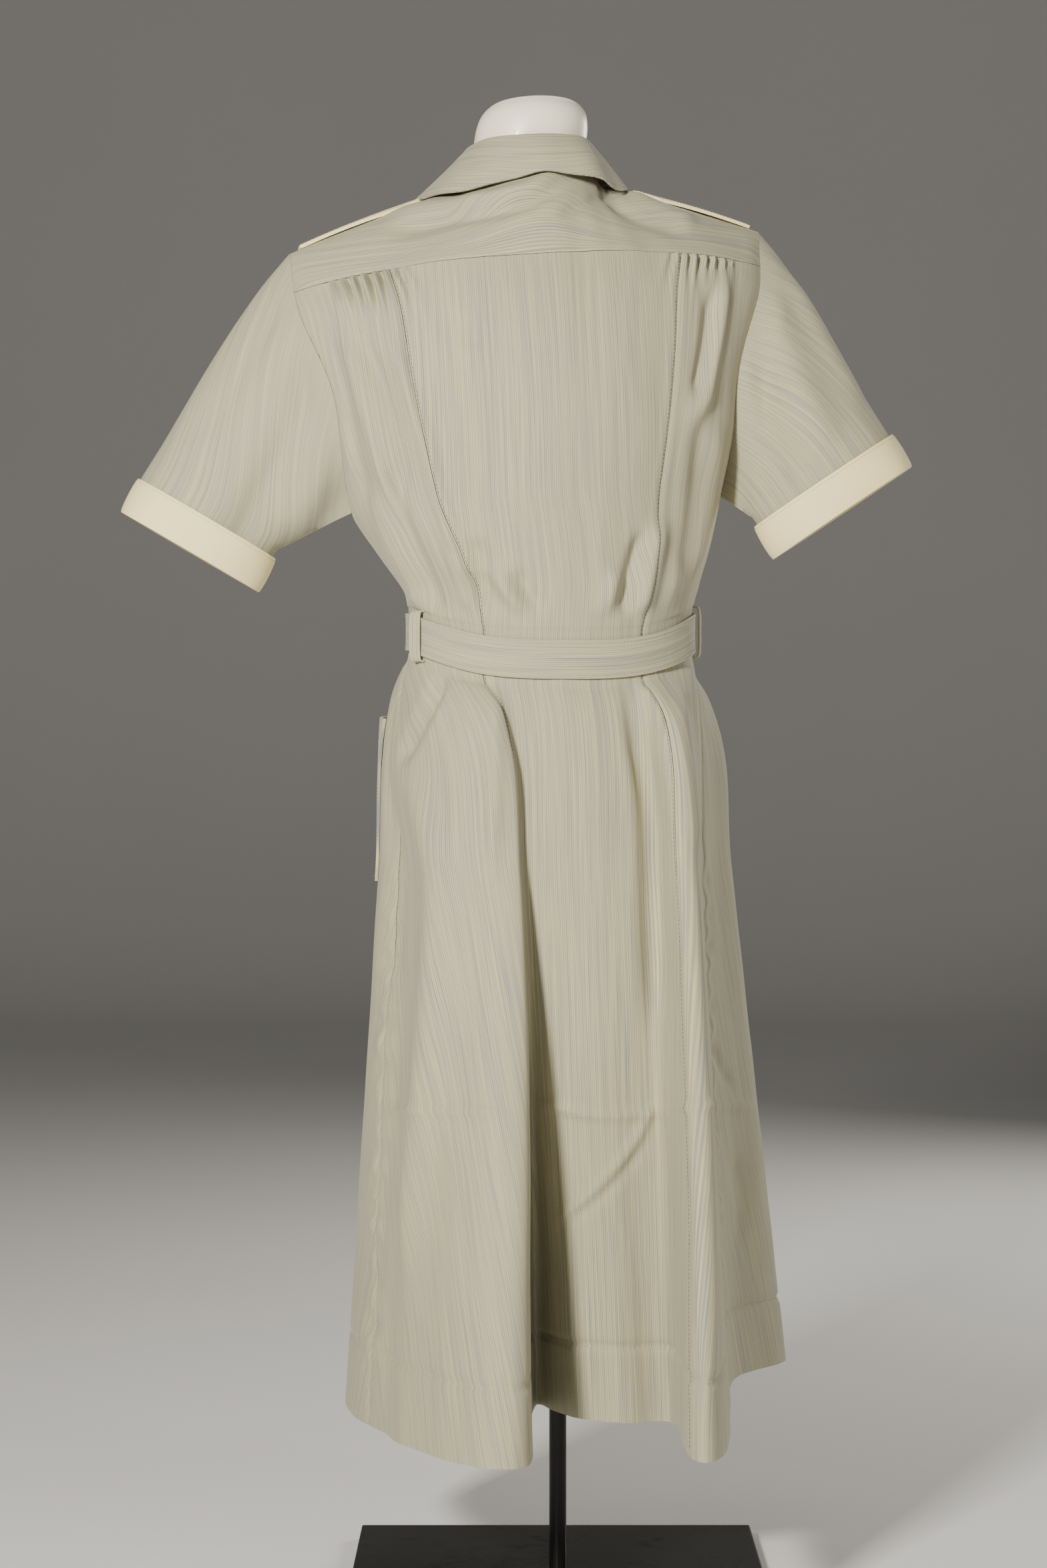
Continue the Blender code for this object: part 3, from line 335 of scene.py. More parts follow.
# Creases and folds of the back: name, height of the ridge or depth of the valley in mm,
# half width in pixels, then the points it passes, in pixels of the photograph
CREASES = (
    ("left armhole valley", -5.0, 12, (500, 500), (512, 590), (530, 690), (560, 790)),
    ("left upper valley", -6.6, 12, (539, 494), (571, 573), (594, 657), (615, 762)),
    ("left upper ridge", 6.0, 12, (508, 478), (538, 583), (570, 689), (606, 800)),
    ("left lower valley", -7.8, 12, (582, 699), (608, 789), (634, 847), (666, 941)),
    ("left inner ridge", 6.0, 13, (570, 457), (603, 552), (636, 657), (664, 762), (700, 910)),
    ("left outer ridge", 5.4, 12, (548, 720), (580, 800), (610, 868), (640, 930)),
    ("right gather valley", -6.6, 9, (1065, 430), (1057, 510), (1039, 604)),
    ("right gather ridge", 6.0, 10, (1086, 394), (1077, 478), (1063, 552), (1046, 640)),
    ("right long ridge", 4.8, 13, (1052, 552), (1034, 657), (1018, 815), (997, 936)),
    ("yoke drag ridge", 5.5, 10, (862, 244), (785, 282), (655, 310), (560, 330)),
    ("yoke drag valley", -6.0, 10, (870, 262), (790, 303), (660, 332), (570, 352)),
    ("yoke right ridge", 4.8, 9, (930, 282), (985, 312), (1050, 334)),
    ("yoke right valley", -4.8, 9, (900, 292), (965, 330), (1035, 350)),
    ("yoke cross valley", -3.6, 10, (832, 322), (890, 300), (935, 280)),
    ("blouse right valley", -8.4, 12, (966, 789), (942, 880), (932, 948)),
    ("hip ridge left", 11.0, 24, (665, 1001), (618, 1133), (654, 1296), (646, 1528),
     (620, 1760), (592, 1993)),
    ("hip valley left", -8.0, 17, (600, 1010), (566, 1120), (590, 1290), (580, 1528)),
    ("hip pleat", -10.0, 10, (668, 1000), (642, 1060), (622, 1110), (610, 1150)),
    ("skirt right valley", -9.6, 15, (938, 1010), (957, 1120), (972, 1200), (980, 1400),
     (986, 1560)),
    ("skirt right ridge", 7.8, 16, (975, 1010), (1018, 1218), (1041, 1528), (1053, 1760),
     (1064, 2148)),
    ("skirt vee", -4.1, 6, (1064, 1560), (1080, 1600), (1094, 1632)),
    ("blouse valley left", -5.9, 18, (712, 800), (722, 870), (742, 940)),
    ("blouse ridge left", 5.5, 16, (690, 820), (700, 880), (716, 940)),
    ("blouse fold", 5.9, 14, (742, 840), (766, 895), (795, 948)),
    ("blouse valley", -5.0, 12, (772, 850), (800, 905), (822, 950)),
    ("blouse right ridge", 6.8, 16, (992, 770), (972, 860), (948, 950)),
    ("blouse right fold", 4.6, 12, (925, 850), (912, 900), (900, 948)),
    ("right side valley", -5.5, 18, (1045, 600), (1032, 740), (1012, 880)),
    ("right side ridge", 4.6, 16, (1075, 620), (1066, 740), (1040, 880)),
    ("left sleeve valley", -9.5, 29, (470, 500), (436, 640), (380, 770), (338, 850)),
    ("left sleeve ridge", 5.7, 26, (520, 640), (470, 740), (430, 810)),
    ("left sleeve upper fold", -3.8, 19, (430, 420), (370, 540), (290, 680)),
    ("right sleeve ridge", 7.6, 26, (1130, 420), (1190, 560), (1250, 690)),
    ("right sleeve valley", -7.6, 26, (1130, 520), (1150, 640), (1180, 730)),
    ("right sleeve small fold", 3.0, 14, (1180, 400), (1240, 510), (1300, 610)),
    ("skirt left fold", 4.1, 13, (742, 1010), (742, 1120), (738, 1300)),
    ("skirt right fold two", 5.0, 13, (1010, 1015), (1030, 1150), (1045, 1300)),
    ("packing crease left", 3.2, 7, (560, 1656), (640, 1664), (770, 1668)),
    ("packing crease middle", 3.2, 7, (800, 1650), (900, 1672), (1010, 1664)),
    ("packing crease right", 3.2, 7, (1010, 1664), (1080, 1655), (1140, 1660)),
    ("curved crease", 3.0, 7, (828, 1830), (870, 1800), (925, 1745), (962, 1690), (986, 1641)),
    ("curved crease shade", -2.0, 7, (836, 1842), (880, 1812), (936, 1756), (976, 1700)),
    ("hem dent left", -3.2, 13, (572, 1870), (556, 1950), (560, 2010)),
    ("hem dent right", -2.8, 11, (1096, 1720), (1110, 1800), (1104, 1880)),
    ("shoulder blade dent", -2.0, 15, (690, 470), (700, 500), (712, 520)),
    ("lower back dent", 2.5, 10, (690, 845), (735, 862), (768, 900)),
    ("belt blouse roll", 4.1, 10, (640, 925), (760, 940), (900, 944), (1010, 928)),
)

# Gathers beside the princess seam: distance from the seam in mm, outwards on the side
# panel and inwards on the centre panel, height in mm, half width in mm, reach down in mm
GATHERS = (
    (-13.0, 1.6, 3.0, 40), (-8.5, -2.2, 2.4, 40), (-4.0, 2.2, 2.2, 36), (4.0, 3.0, 2.3, 60),
    (8.0, -3.4, 2.1, 62), (13.0, 3.8, 2.8, 120), (18.2, -4.0, 2.5, 90), (23.6, 3.6, 2.9, 105),
    (28.6, -3.4, 2.3, 60), (33.2, 3.3, 2.6, 90), (38.4, -3.0, 2.4, 64), (43.4, 2.8, 2.7, 74),
    (48.2, -2.2, 2.2, 46), (52.6, 2.0, 2.5, 48), (58.0, -1.4, 2.8, 36),
)

# Gathers: how they slant away from the seam, the drop in which they widen once more by
# their own width, and how abruptly they end
GATHER_SLANT = 0.08
GATHER_WIDEN = 0.022
GATHER_END = 1.3

# Height of the hem's stitches above its edge
HEM_DEPTH = 0.064

# Stitch rows: name, colour name, length, gap and thickness of a stitch in mm
STITCH_ROWS = {
    # The princess stitches are near-black: painted shade of the seam's groove, drawn as dark
    # thread
    "princess": ("painted_shade_thread", 2.2, 1.3, 0.42),
    "edge": ("cloth_thread", 2.2, 0.8, 0.36),
    "hem": ("cream_thread", 2.4, 2.8, 0.42),
    "cream": ("cream_thread", 2.3, 0.9, 0.40),
}


def length_setting(name, description, default, low, high):
    """A distance that a user would change."""
    return bpy.props.FloatProperty(name=name, description=description, default=default,
                                   min=low, max=high, subtype="DISTANCE", unit="LENGTH")


def share_setting(name, description, high=1.5):
    """A share of the built-in strength, 1 as built."""
    return bpy.props.FloatProperty(name=name, description=description, default=1.0,
                                   min=0.0, max=high, subtype="FACTOR")


def colour_setting(name, description, default):
    """A colour that a user would change."""
    return bpy.props.FloatVectorProperty(name=name, description=description,
                                         default=default, subtype="COLOR", min=0.0, max=1.0)


class DressSettings(bpy.types.PropertyGroup):
    """Sizes and colours that a user would change."""
    cloth_wall: length_setting(
        "Cloth thickness", "Thickness of the dress's cloth walls", 0.0014, 0.001, 0.003)
    stripe_period: length_setting(
        "Stripe period", "Distance from one pinstripe to the next", 0.0016, 0.0005, 0.02)
    gather_height: share_setting("Gathers", "Height of the gathers and seams, as a share")
    crease_height: share_setting("Creases", "Height of the folds and creases, as a share")
    stripe_colour: colour_setting(
        "Stripe", "Colour of the blue grey pinstripes", (0.180, 0.205, 0.212))
    ground_colour: colour_setting(
        "Ground", "Colour of the cloth between the stripes", (0.60, 0.525, 0.290))
    cream_colour: colour_setting(
        "Cream", "Colour of the cuffs and shoulder straps", (0.98, 0.84, 0.44))
    form_colour: colour_setting("Form", "Colour of the dress form", (0.93, 0.87, 0.70))
    floor_colour: colour_setting(
        "Floor", "Colour of the floor and the wall behind", (0.80, 0.79, 0.77))
    light_strength: share_setting("Light", "Strength of the studio lights, as a share", 4.0)


def settings():
    """The dress's settings in this scene."""
    return bpy.context.scene.dress_settings


class Value:
    """A shader socket that takes part in Python expressions."""

    def __init__(self, tree, socket):
        self.tree = tree
        self.socket = socket

    def math(self, operation, *others):
        node = self.tree.nodes.new("ShaderNodeMath")
        node.operation = operation
        for slot, item in zip(node.inputs, (self,) + others):
            put(self.tree, slot, item)
        return Value(self.tree, node.outputs[0])

    def __add__(self, other):
        return self.math("ADD", other)

    def __sub__(self, other):
        return self.math("SUBTRACT", other)

    def __mul__(self, other):
        return self.math("MULTIPLY", other)

    def __truediv__(self, other):
        return self.math("DIVIDE", other)


def put(tree, slot, item):
    """Set a node's input to a number, a colour, a socket or a value."""
    if isinstance(item, Value):
        item = item.socket
    if isinstance(item, bpy.types.NodeSocket):
        tree.links.new(item, slot)
    else:
        slot.default_value = item


class Finish:
    """One procedural material while its nodes are being made."""

    def __init__(self, name, roughness=0.8, metallic=0.0):
        self.material = bpy.data.materials.new(name)
        self.material.use_nodes = True
        self.tree = self.material.node_tree
        self.shader = self.tree.nodes["Principled BSDF"]
        self.set("Roughness", roughness)
        self.set("Metallic", metallic)
        place = self.tree.nodes.new("ShaderNodeTexCoord")
        self.place = Value(self.tree, place.outputs["Object"])
        self.flat = Value(self.tree, place.outputs["UV"])

    def node(self, kind, options=(), inputs=(), output=0):
        """Any node from its type, its settings and its sockets."""
        made = self.tree.nodes.new(kind)
        for key, value in dict(options).items():
            setattr(made, key, value)
        for key, value in dict(inputs).items():
            put(self.tree, made.inputs[key], value)
        return Value(self.tree, made.outputs[output])

    def scaled(self, vector, scale):
        return self.node("ShaderNodeVectorMath", {"operation": "MULTIPLY"},
                         {0: vector, 1: scale})

    def noise(self, vector, scale, detail=3.0, roughness=0.55):
        return self.node("ShaderNodeTexNoise", {}, {
            "Vector": vector, "Scale": scale, "Detail": detail, "Roughness": roughness})

    def part(self, vector, axis):
        return self.node("ShaderNodeSeparateXYZ", {}, {"Vector": vector}, axis)

    def between(self, value, low, high, start=0.0, stop=1.0):
        return self.node("ShaderNodeMapRange", {"interpolation_type": "SMOOTHSTEP"}, {
            "Value": value, "From Min": low, "From Max": high, "To Min": start,
            "To Max": stop})

    def mix(self, factor, first, second):
        return self.node("ShaderNodeMix", {"data_type": "RGBA"}, {
            0: factor, 6: first, 7: second}, 2)

    def bump(self, height, distance, strength=1.0, under=None):
        inputs = {"Height": height, "Distance": distance, "Strength": strength}
        if under is not None:
            inputs["Normal"] = under
        return self.node("ShaderNodeBump", {}, inputs)

    def set(self, socket, value):
        put(self.tree, self.shader.inputs[socket], value)


def opaque(colour, shares=1.0):
    """A colour as four numbers, darkened by one share or by one for each number."""
    return (*np.multiply(tuple(colour), shares).tolist(), 1.0)


def striped_cotton():
    """Pinstriped cotton: stripes run along V and follow U, both in metres."""
    s = settings()
    f = Finish("striped_cotton", 0.82)
    u = f.part(f.flat, 0)
    slub = f.noise(f.scaled(f.flat, (520.0, 9.0, 0.0)), 1.0, 3.0, 0.65)
    drift = f.noise(f.scaled(f.flat, (60.0, 4.0, 0.0)), 1.0, 2.0)
    turn = (u / s.stripe_period + (drift - 0.5) * 0.12).math("FRACT")
    wave = (turn - 0.5).math("ABSOLUTE")
    stripe = f.between(wave, 0.10, 0.36)
    yarn = f.between(slub, 0.30, 0.72)
    streak = f.noise(f.scaled(f.flat, (560.0, 3.5, 0.0)), 1.0, 2.0, 0.7)
    streak = f.between(streak, 0.34, 0.66)
    share = stripe * 0.36 + yarn * 0.32 + streak * 0.26 + 0.04
    cloud = f.noise(f.place, 5.0, 3.0)
    warm = f.between(cloud, 0.35, 0.70)
    ground = f.mix(warm * 0.55, opaque(s.ground_colour),
                   opaque(s.ground_colour, (0.96, 0.93, 0.84)))
    colour = f.mix(share, ground, opaque(s.stripe_colour))
    pale = f.between(f.noise(f.scaled(f.flat, (170.0, 3.0, 0.0)), 1.0, 2.0), 0.52, 0.75)
    colour = f.mix(pale * 0.10, colour, opaque(s.ground_colour, 1.08))
    f.set("Base Color", colour)
    v = f.part(f.flat, 1)
    pick = (v * PICK_RATE).math("SINE") * 0.5 + 0.5
    warp = (u * WARP_RATE).math("SINE") * 0.5 + 0.5
    weave = f.bump(pick * 0.5 + warp * 0.5 + slub * 0.4, 0.00016, 0.45)
    ripple = f.noise(f.scaled(f.place, (26.0, 26.0, 15.0)), 1.0, 3.0, 0.5)
    f.set("Normal", f.bump(ripple, 0.0005, 0.4, weave))
    f.set("Roughness", f.between(slub, 0.2, 0.8, 0.74, 0.90))
    f.set("Sheen Weight", 0.12)
    f.set("Sheen Roughness", 0.5)
    f.set("Specular IOR Level", 0.3)
    return f.material


def cream_cotton():
    """Plain cream cotton of the cuffs and straps."""
    s = settings()
    f = Finish("cream_cotton", 0.78)
    cloud = f.between(f.noise(f.place, 14.0, 3.0), 0.3, 0.75)
    f.set("Base Color", f.mix(cloud * 0.6, opaque(s.cream_colour),
                              opaque(s.cream_colour, (0.95, 0.92, 0.82))))
    u = f.part(f.flat, 0)
    v = f.part(f.flat, 1)
    weave = (u * CREAM_RATE).math("SINE") * (v * CREAM_RATE).math("SINE")
    ripple = f.noise(f.place, 45.0, 2.0)
    f.set("Normal", f.bump(ripple, 0.0012, 0.5, f.bump(weave, 0.00012, 0.5)))
    f.set("Roughness", f.between(cloud, 0.0, 1.0, 0.72, 0.84))
    f.set("Sheen Weight", 0.1)
    return f.material


def form_cover(place):
    """Painted skin of the dress form, with the faint ring of its neck plug."""
    f = Finish("form_cover", 0.42)
    tone = f.between(f.noise(f.place, 9.0, 3.0), 0.3, 0.7)
    base = settings().form_colour
    skin = f.mix(tone * 0.5, opaque(base), opaque(base, 0.93))
    away = f.node("ShaderNodeVectorMath", {"operation": "DISTANCE"},
                  {0: f.place, 1: place}, "Value")
    ring = f.between((away - PLUG_RADIUS).math("ABSOLUTE"), *PLUG_RING, 1.0, 0.0)
    f.set("Base Color", f.mix(ring * 0.30, skin, opaque(base, 0.55)))
    grain = f.noise(f.place, 420.0, 2.0)
    f.set("Normal", f.bump(grain - ring * 1.5, 0.0002, 0.4))
    f.set("Roughness", f.between(tone, 0.0, 1.0, 0.36, 0.48))
    f.set("Coat Weight", 0.08)
    return f.material


def dark_steel():
    """Satin black paint on the pole and the plate, with faint lighter dust in random patches.
    """
    f = Finish("dark_steel", 0.42, 0.6)
    dust = f.between(f.noise(f.place, 30.0, 4.0, 0.6), 0.45, 0.8)
    f.set("Base Color", f.mix(dust * 0.12, (0.018, 0.017, 0.016, 1.0),
                              (0.075, 0.070, 0.062, 1.0)))
    f.set("Roughness", f.between(dust, 0.0, 1.0, 0.40, 0.52))
    f.set("Normal", f.bump(f.noise(f.place, 700.0, 2.0), 0.00015, 0.4))
    return f.material


def pearl_plastic():
    """Pearly plastic of the buttons and the buckle."""
    f = Finish("pearl_plastic", 0.25)
    swirl = f.node("ShaderNodeTexWave", {"wave_type": "BANDS", "bands_direction": "DIAGONAL"}, {
        "Vector": f.place, "Scale": 60.0, "Distortion": 9.0, "Detail": 2.0}, "Fac")
    f.set("Base Color", f.mix(swirl * 0.5, (0.80, 0.77, 0.68, 1.0), (0.90, 0.88, 0.82, 1.0)))
    f.set("Roughness", f.between(swirl, 0.0, 1.0, 0.18, 0.30))
    f.set("Normal", f.bump(swirl, 0.0001, 0.3))
    f.set("Coat Weight", 0.4)
    return f.material


def thread(name, colour):
    """Cotton sewing thread with a fine twist; the near-black one is painted shade in seams and
    button holes.
    """
    f = Finish(name, 0.75)
    twist = f.noise(f.place, 1500.0, 1.0)
    f.set("Base Color", f.mix(f.between(twist, 0.3, 0.7), opaque(colour),
                              opaque(colour, 0.8)))
    f.set("Normal", f.bump(twist, 0.0001, 0.4))
    return f.material


def plain_paper():
    """Matt seamless paper of the floor and the wall."""
    f = Finish("studio_paper", 0.92)
    tone = f.between(f.noise(f.place, 1.4, 2.0), 0.2, 0.8)
    base = settings().floor_colour
    f.set("Base Color", f.mix(tone * 0.5, opaque(base), opaque(base, 0.96)))
    f.set("Normal", f.bump(f.noise(f.place, 240.0, 2.0), 0.0003, 0.3))
    return f.material


FINISH_MAKERS = {
    "striped_cotton": striped_cotton,
    "cream_cotton": cream_cotton,
    "dark_steel": dark_steel,
    "pearl_plastic": pearl_plastic,
    "cloth_thread": lambda: thread("cloth_thread", (0.56, 0.55, 0.50)),
    # Near-black thread: painted shade along the princess seams and in the button holes
    "painted_shade_thread": lambda: thread("painted_shade_thread", (0.115, 0.115, 0.115)),
    "cream_thread": lambda: thread("cream_thread", (0.70, 0.62, 0.42)),
    "studio_paper": plain_paper,
}


MADE = {}


def finish(name):
    """The material of that name, made the first time it is asked for."""
    if name not in MADE:
        MADE[name] = FINISH_MAKERS[name]()
    return MADE[name]


def spline(keys, values, places):
    """Smooth curve through values at rising keys, read at the given places."""
    keys = np.asarray(keys, float)
    values = np.asarray(values, float)
    places = np.atleast_1d(np.asarray(places, float))
    steps = np.diff(keys)
    slopes = np.diff(values, axis=0) / steps.reshape((-1,) + (1,) * (values.ndim - 1))
    tangents = np.concatenate([slopes[:1], (slopes[1:] + slopes[:-1]) / 2, slopes[-1:]])
    cell = np.clip(np.searchsorted(keys, places, side="right") - 1, 0, len(steps) - 1)
    width = steps[cell]
    f = np.clip((places - keys[cell]) / width, 0.0, 1.0)
    if values.ndim > 1:
        f, width = f[:, None], width[:, None]
    start = (1 + 2 * f) * (1 - f) ** 2 * values[cell]
    start_pull = f * (1 - f) ** 2 * width * tangents[cell]
    end = f * f * (3 - 2 * f) * values[cell + 1]
    end_pull = f * f * (f - 1) * width * tangents[cell + 1]
    return start + start_pull + end + end_pull


def lean(points):
    """Turn garment points on the stand and lean the upper body."""
    points = np.asarray(points, float)
    x = points[..., 0] * math.cos(TURN) - points[..., 1] * math.sin(TURN)
    y = points[..., 0] * math.sin(TURN) + points[..., 1] * math.cos(TURN)
    z = points[..., 2]
    rows = np.array([row[1:] for row in LEAN_ROWS])
    shift = np.interp(z, rows[:, 0], rows[:, 1])
    tilt = np.interp(z, rows[:, 0], rows[:, 2]) * TILT
    return np.stack([x * np.cos(tilt) + shift, y, z - x * np.sin(tilt)], axis=-1)


def section_y(share, centre, edge, roundness):
    """Depth of a body section at a share of its half width."""
    share = np.clip(np.abs(share), 0.0, 1.0)
    arch = roundness * np.sqrt(1 - share ** 2) + (1 - roundness) * (1 - share ** 2)
    return edge + (centre - edge) * arch


def width_share(angle, roundness, princess):
    """Share of the half width at a waist angle of 0 to 90 degrees."""
    flat = angle / 90.0
    turned = np.sin(np.radians(angle))
    place = roundness * turned + (1 - roundness) * flat
    seam = roundness * math.sin(math.radians(WAIST_PRINCESS)) \
        + (1 - roundness) * WAIST_PRINCESS / 90.0
    inner = princess * place / seam
    outer = princess + (1 - princess) * (place - seam) / (1 - seam)
    return np.where(angle < WAIST_PRINCESS, inner, outer)


def back_point(angle, v):
    """Garment point of the back; v runs 0 to 8 through the rows of the table."""
    numbers = np.array([row[1:] for row in BACK_ROWS])
    z_mid, y_mid, princess, x_edge, y_edge, z_edge, roundness = \
        spline(range(len(BACK_ROWS)), numbers, [v])[0]
    side = np.sign(angle)
    share = width_share(abs(angle), np.clip(roundness, 0, 1), princess / x_edge)
    y = section_y(share, y_mid, y_edge, np.clip(roundness, 0, 1))
    z = z_mid + (z_edge - z_mid) * share ** 3
    return np.array([side * share * x_edge, y, z])


def front_point(angle, v):
    """Garment point of a front; angle 90 is the side, 180 the centre front."""
    numbers = np.array([row[1:] for row in FRONT_ROWS])
    z_mid, y_mid, x_edge, y_edge, z_edge, roundness = \
        spline(range(len(FRONT_ROWS)), numbers, [v])[0]
    if v > ARMPIT_ROW:
        x_edge, y_edge, z_edge = back_point(90.0, v)
    roundness = float(np.clip(roundness, 0, 1))
    turn = 180.0 - abs(angle)
    share = roundness * math.sin(math.radians(turn)) + (1 - roundness) * turn / 90.0
    y = section_y(share, y_mid, y_edge, roundness)
    z = z_mid + (z_edge - z_mid) * share ** 2
    point = np.array([math.copysign(share * x_edge, angle), y, z])
    if v < 1.0:
        top = neck_and_shoulder(share, math.copysign(1, angle))
        start = front_point(angle, 1.0)
        return top + (start - top) * v
    return point


def neck_and_shoulder(share, side):
    """Top edge of a front: neckline from the centre front, then shoulder seam."""
    if share >= NECK_FRONT_SHARE:
        return shoulder_seam((share - NECK_FRONT_SHARE) / (1 - NECK_FRONT_SHARE), side)
    f = share / NECK_FRONT_SHARE
    sweep = math.sin(f * NECKLINE_SWEEP) / math.sin(NECKLINE_SWEEP)
    centre = np.array(NECKLINE_CENTRE)
    return centre + (neck_corner(side) - centre) * np.array([sweep, f ** 1.6, f ** 1.3])


def shoulder_seam(share, side):
    """Forward shoulder seam, from the neck (0) to the armhole (1)."""
    corner = neck_corner(side)
    end = np.array([side * FRONT_ROWS[0][3], FRONT_ROWS[0][4], FRONT_ROWS[0][5]])
    return corner + (end - corner) * share


def neck_corner(side):
    """Where the forward shoulder seam meets the neck."""
    return neck_seam(side * NECK_CORNER_ANGLE)


def neck_seam(angle):
    """Neck seam of the yoke at an angle from the centre back."""
    a = math.radians(angle)
    z = NECK_TOP - NECK_SIDE_DROP * math.sin(a) ** 2 - NECK_FRONT_DROP * (1 - math.cos(a))
    return np.array([NECK_HALF_WIDTH * math.sin(a), NECK_Y + NECK_DEPTH * math.cos(a), z])


def yoke_point(share, r):
    """Yoke from its front and neck edge (r 0) to the back yoke seam (r 1)."""
    side = math.copysign(1, share)
    size = abs(share)
    angle = column_angle_for_share(size)
    outer = back_point(side * angle, 0.0)
    if size < NECK_SHARE:
        inner = neck_seam(side * NECK_CORNER_ANGLE * size / NECK_SHARE)
    else:
        inner = shoulder_seam((size - NECK_SHARE) / (1 - NECK_SHARE), side)
    over = np.clip(size / NECK_SHARE, 0, 1) ** 3
    rise = 4 * r * (1 - r) * (YOKE_RISE + YOKE_SHOULDER_RISE * over)
    out = 4 * r * (1 - r) * YOKE_OUT * (1 - over)
    return inner + (outer - inner) * r + np.array([0.0, out, rise])


def column_angle_for_share(share):
    """Waist angle of the back column at a share of the yoke seam's half width."""
    row = BACK_ROWS[0]
    angles = np.linspace(0.0, 90.0, 181)
    shares = width_share(angles, row[7], row[3] / row[4])
    return float(np.interp(share, shares, angles))


def waist_point(angle):
    """Garment point under the middle of the belt at a waist angle."""
    a = math.radians(angle)
    back = math.cos(a) > 0
    depth = BACK_ROWS[-1][2] if back else -FRONT_ROWS[-1][2]
    sag = BELT_SAG * (1 - abs(math.sin(a)) ** 3) if back else 0.0
    x = BACK_ROWS[-1][4] * math.sin(a)
    if back:
        share = width_share(np.array(abs(angle)), 1.0, BACK_ROWS[-1][3] / BACK_ROWS[-1][4])
        x = math.copysign(float(share) * BACK_ROWS[-1][4], angle)
        y = section_y(float(share), depth, 0.0, 1.0)
    else:
        y = math.cos(a) * depth
    return np.array([x, y, WAIST_Z - sag])


def skirt_point(s, t):
    """Skirt in the frame of the stand; s counts the lines, t 0 at the belt."""
    table = np.array([row[1:] for row in SKIRT_LINES])
    keys = range(len(SKIRT_LINES))
    angle, mid_x, mid_y, hem_x, hem_y, hem_z = spline(keys, table, [s])[0]
    waist = lean(waist_point(angle) - np.array([0, 0, BELT_ZONE]))
    hem = np.array([hem_x, hem_y, hem_z])
    middle = (waist[2] - MID_Z) / (waist[2] - hem_z)
    mid = np.array([mid_x, mid_y, MID_Z])
    hip = waist + (mid - waist) * HIP_SHARE
    hip[2] = waist[2] - HIP_DROP
    places = [0.0, HIP_DROP / (waist[2] - hem_z), middle, 1.0]
    return spline(places, np.array([waist, hip, mid, hem]), [t])[0]


def line_number(name):
    """Index of a named line of the skirt table."""
    return [row[0] for row in SKIRT_LINES].index(name)


def wrapped(s):
    """A place on the skirt lines, brought back into the table past either end."""
    end = len(SKIRT_LINES) - 1
    return s if s == end else s % end


def line_angle(s):
    """Waist angle at a place on the skirt lines."""
    angles = [row[1] for row in SKIRT_LINES]
    return float(spline(range(len(SKIRT_LINES)), angles, [wrapped(s)])[0])


def by_columns(strips):
    """Grid whose columns are the given lines of points."""
    return np.array(strips).transpose(1, 0, 2)


def sided(name, side):
    """Name of the left (1) or right (-1) piece."""
    return name + ("_left" if side > 0 else "_right")


def waves(along, rows):
    """Sum of sine waves, from rows of height, rate and start."""
    return sum(height * np.sin(rate * along + start) for height, rate, start in rows)


def bell(away, height, width):
    """Height of a rounded fold at a distance from its line."""
    return height * np.exp(-(away / width) ** 2)


def grid_normals(grid, closed=False):
    """Outward normals of a grid whose rows run down and columns run left to right."""
    if closed:
        across = np.roll(grid, -1, axis=1) - np.roll(grid, 1, axis=1)
    else:
        across = np.gradient(grid, axis=1)
    down = np.gradient(grid, axis=0)
    normals = np.cross(down, across)
    return normals / np.maximum(np.linalg.norm(normals, axis=-1, keepdims=True), 1e-9)


def loop_shares(loop, top):
    """Share of the way round for each point, with the shoulder point at a half."""
    steps = np.linalg.norm(np.roll(loop, -1, axis=0) - loop, axis=1)
    along = np.concatenate([[0], np.cumsum(steps)])
    first = along[:top + 1] / along[top] * 0.5
    second = 0.5 + (along[top:-1] - along[top]) / (along[-1] - along[top]) * 0.5
    return np.concatenate([first[:-1], second])


def sleeve_ring(row, shares, drop, grow):
    """Ring across a sleeve, `drop` below the top edge of its cuff."""
    side, outer_x, outer_z, inner_x, inner_z, middle_y, half_depth = row[1:]
    outer = np.array([outer_x, middle_y, outer_z])
    inner = np.array([inner_x, middle_y, inner_z])
    half = (inner - outer) / 2
    size = np.linalg.norm(half)
    along = half / size
    axis = np.array([along[2], 0.0, -along[0]]) * side
    if axis[2] > 0:
        axis = -axis
    turn = 2 * math.pi * shares[:, None]
    centre = (outer + inner) / 2 + axis * drop
    width = along * (size + grow) * np.cos(turn)
    depth = np.array([0.0, 1.0, 0.0]) * (half_depth + grow) * np.sin(turn)
    return centre + width + depth


def sleeve_grid(row, shares, loop):
    """Sleeve from the armhole to just inside its cuff."""
    side = row[1]
    end = sleeve_ring(row, shares, SLEEVE_END, -LAYER)
    reach = end - loop
    length = np.linalg.norm(reach, axis=1, keepdims=True)
    away = np.array([side, 0.0, -SLEEVE_DROP])
    start_pull = reach * SLEEVE_PULL + length * away * SLEEVE_SPRING
    rows = []
    for t in np.linspace(0, 1, SLEEVE_ROWS + 1):
        start = (1 + 2 * t) * (1 - t) ** 2
        stop = t * t * (3 - 2 * t)
        rows.append(start * loop + t * (1 - t) ** 2 * start_pull
                    + stop * end + t * t * (t - 1) * reach)
    rows.append(sleeve_ring(row, shares, SLEEVE_TUCK, -LAYER))
    return np.array(rows)


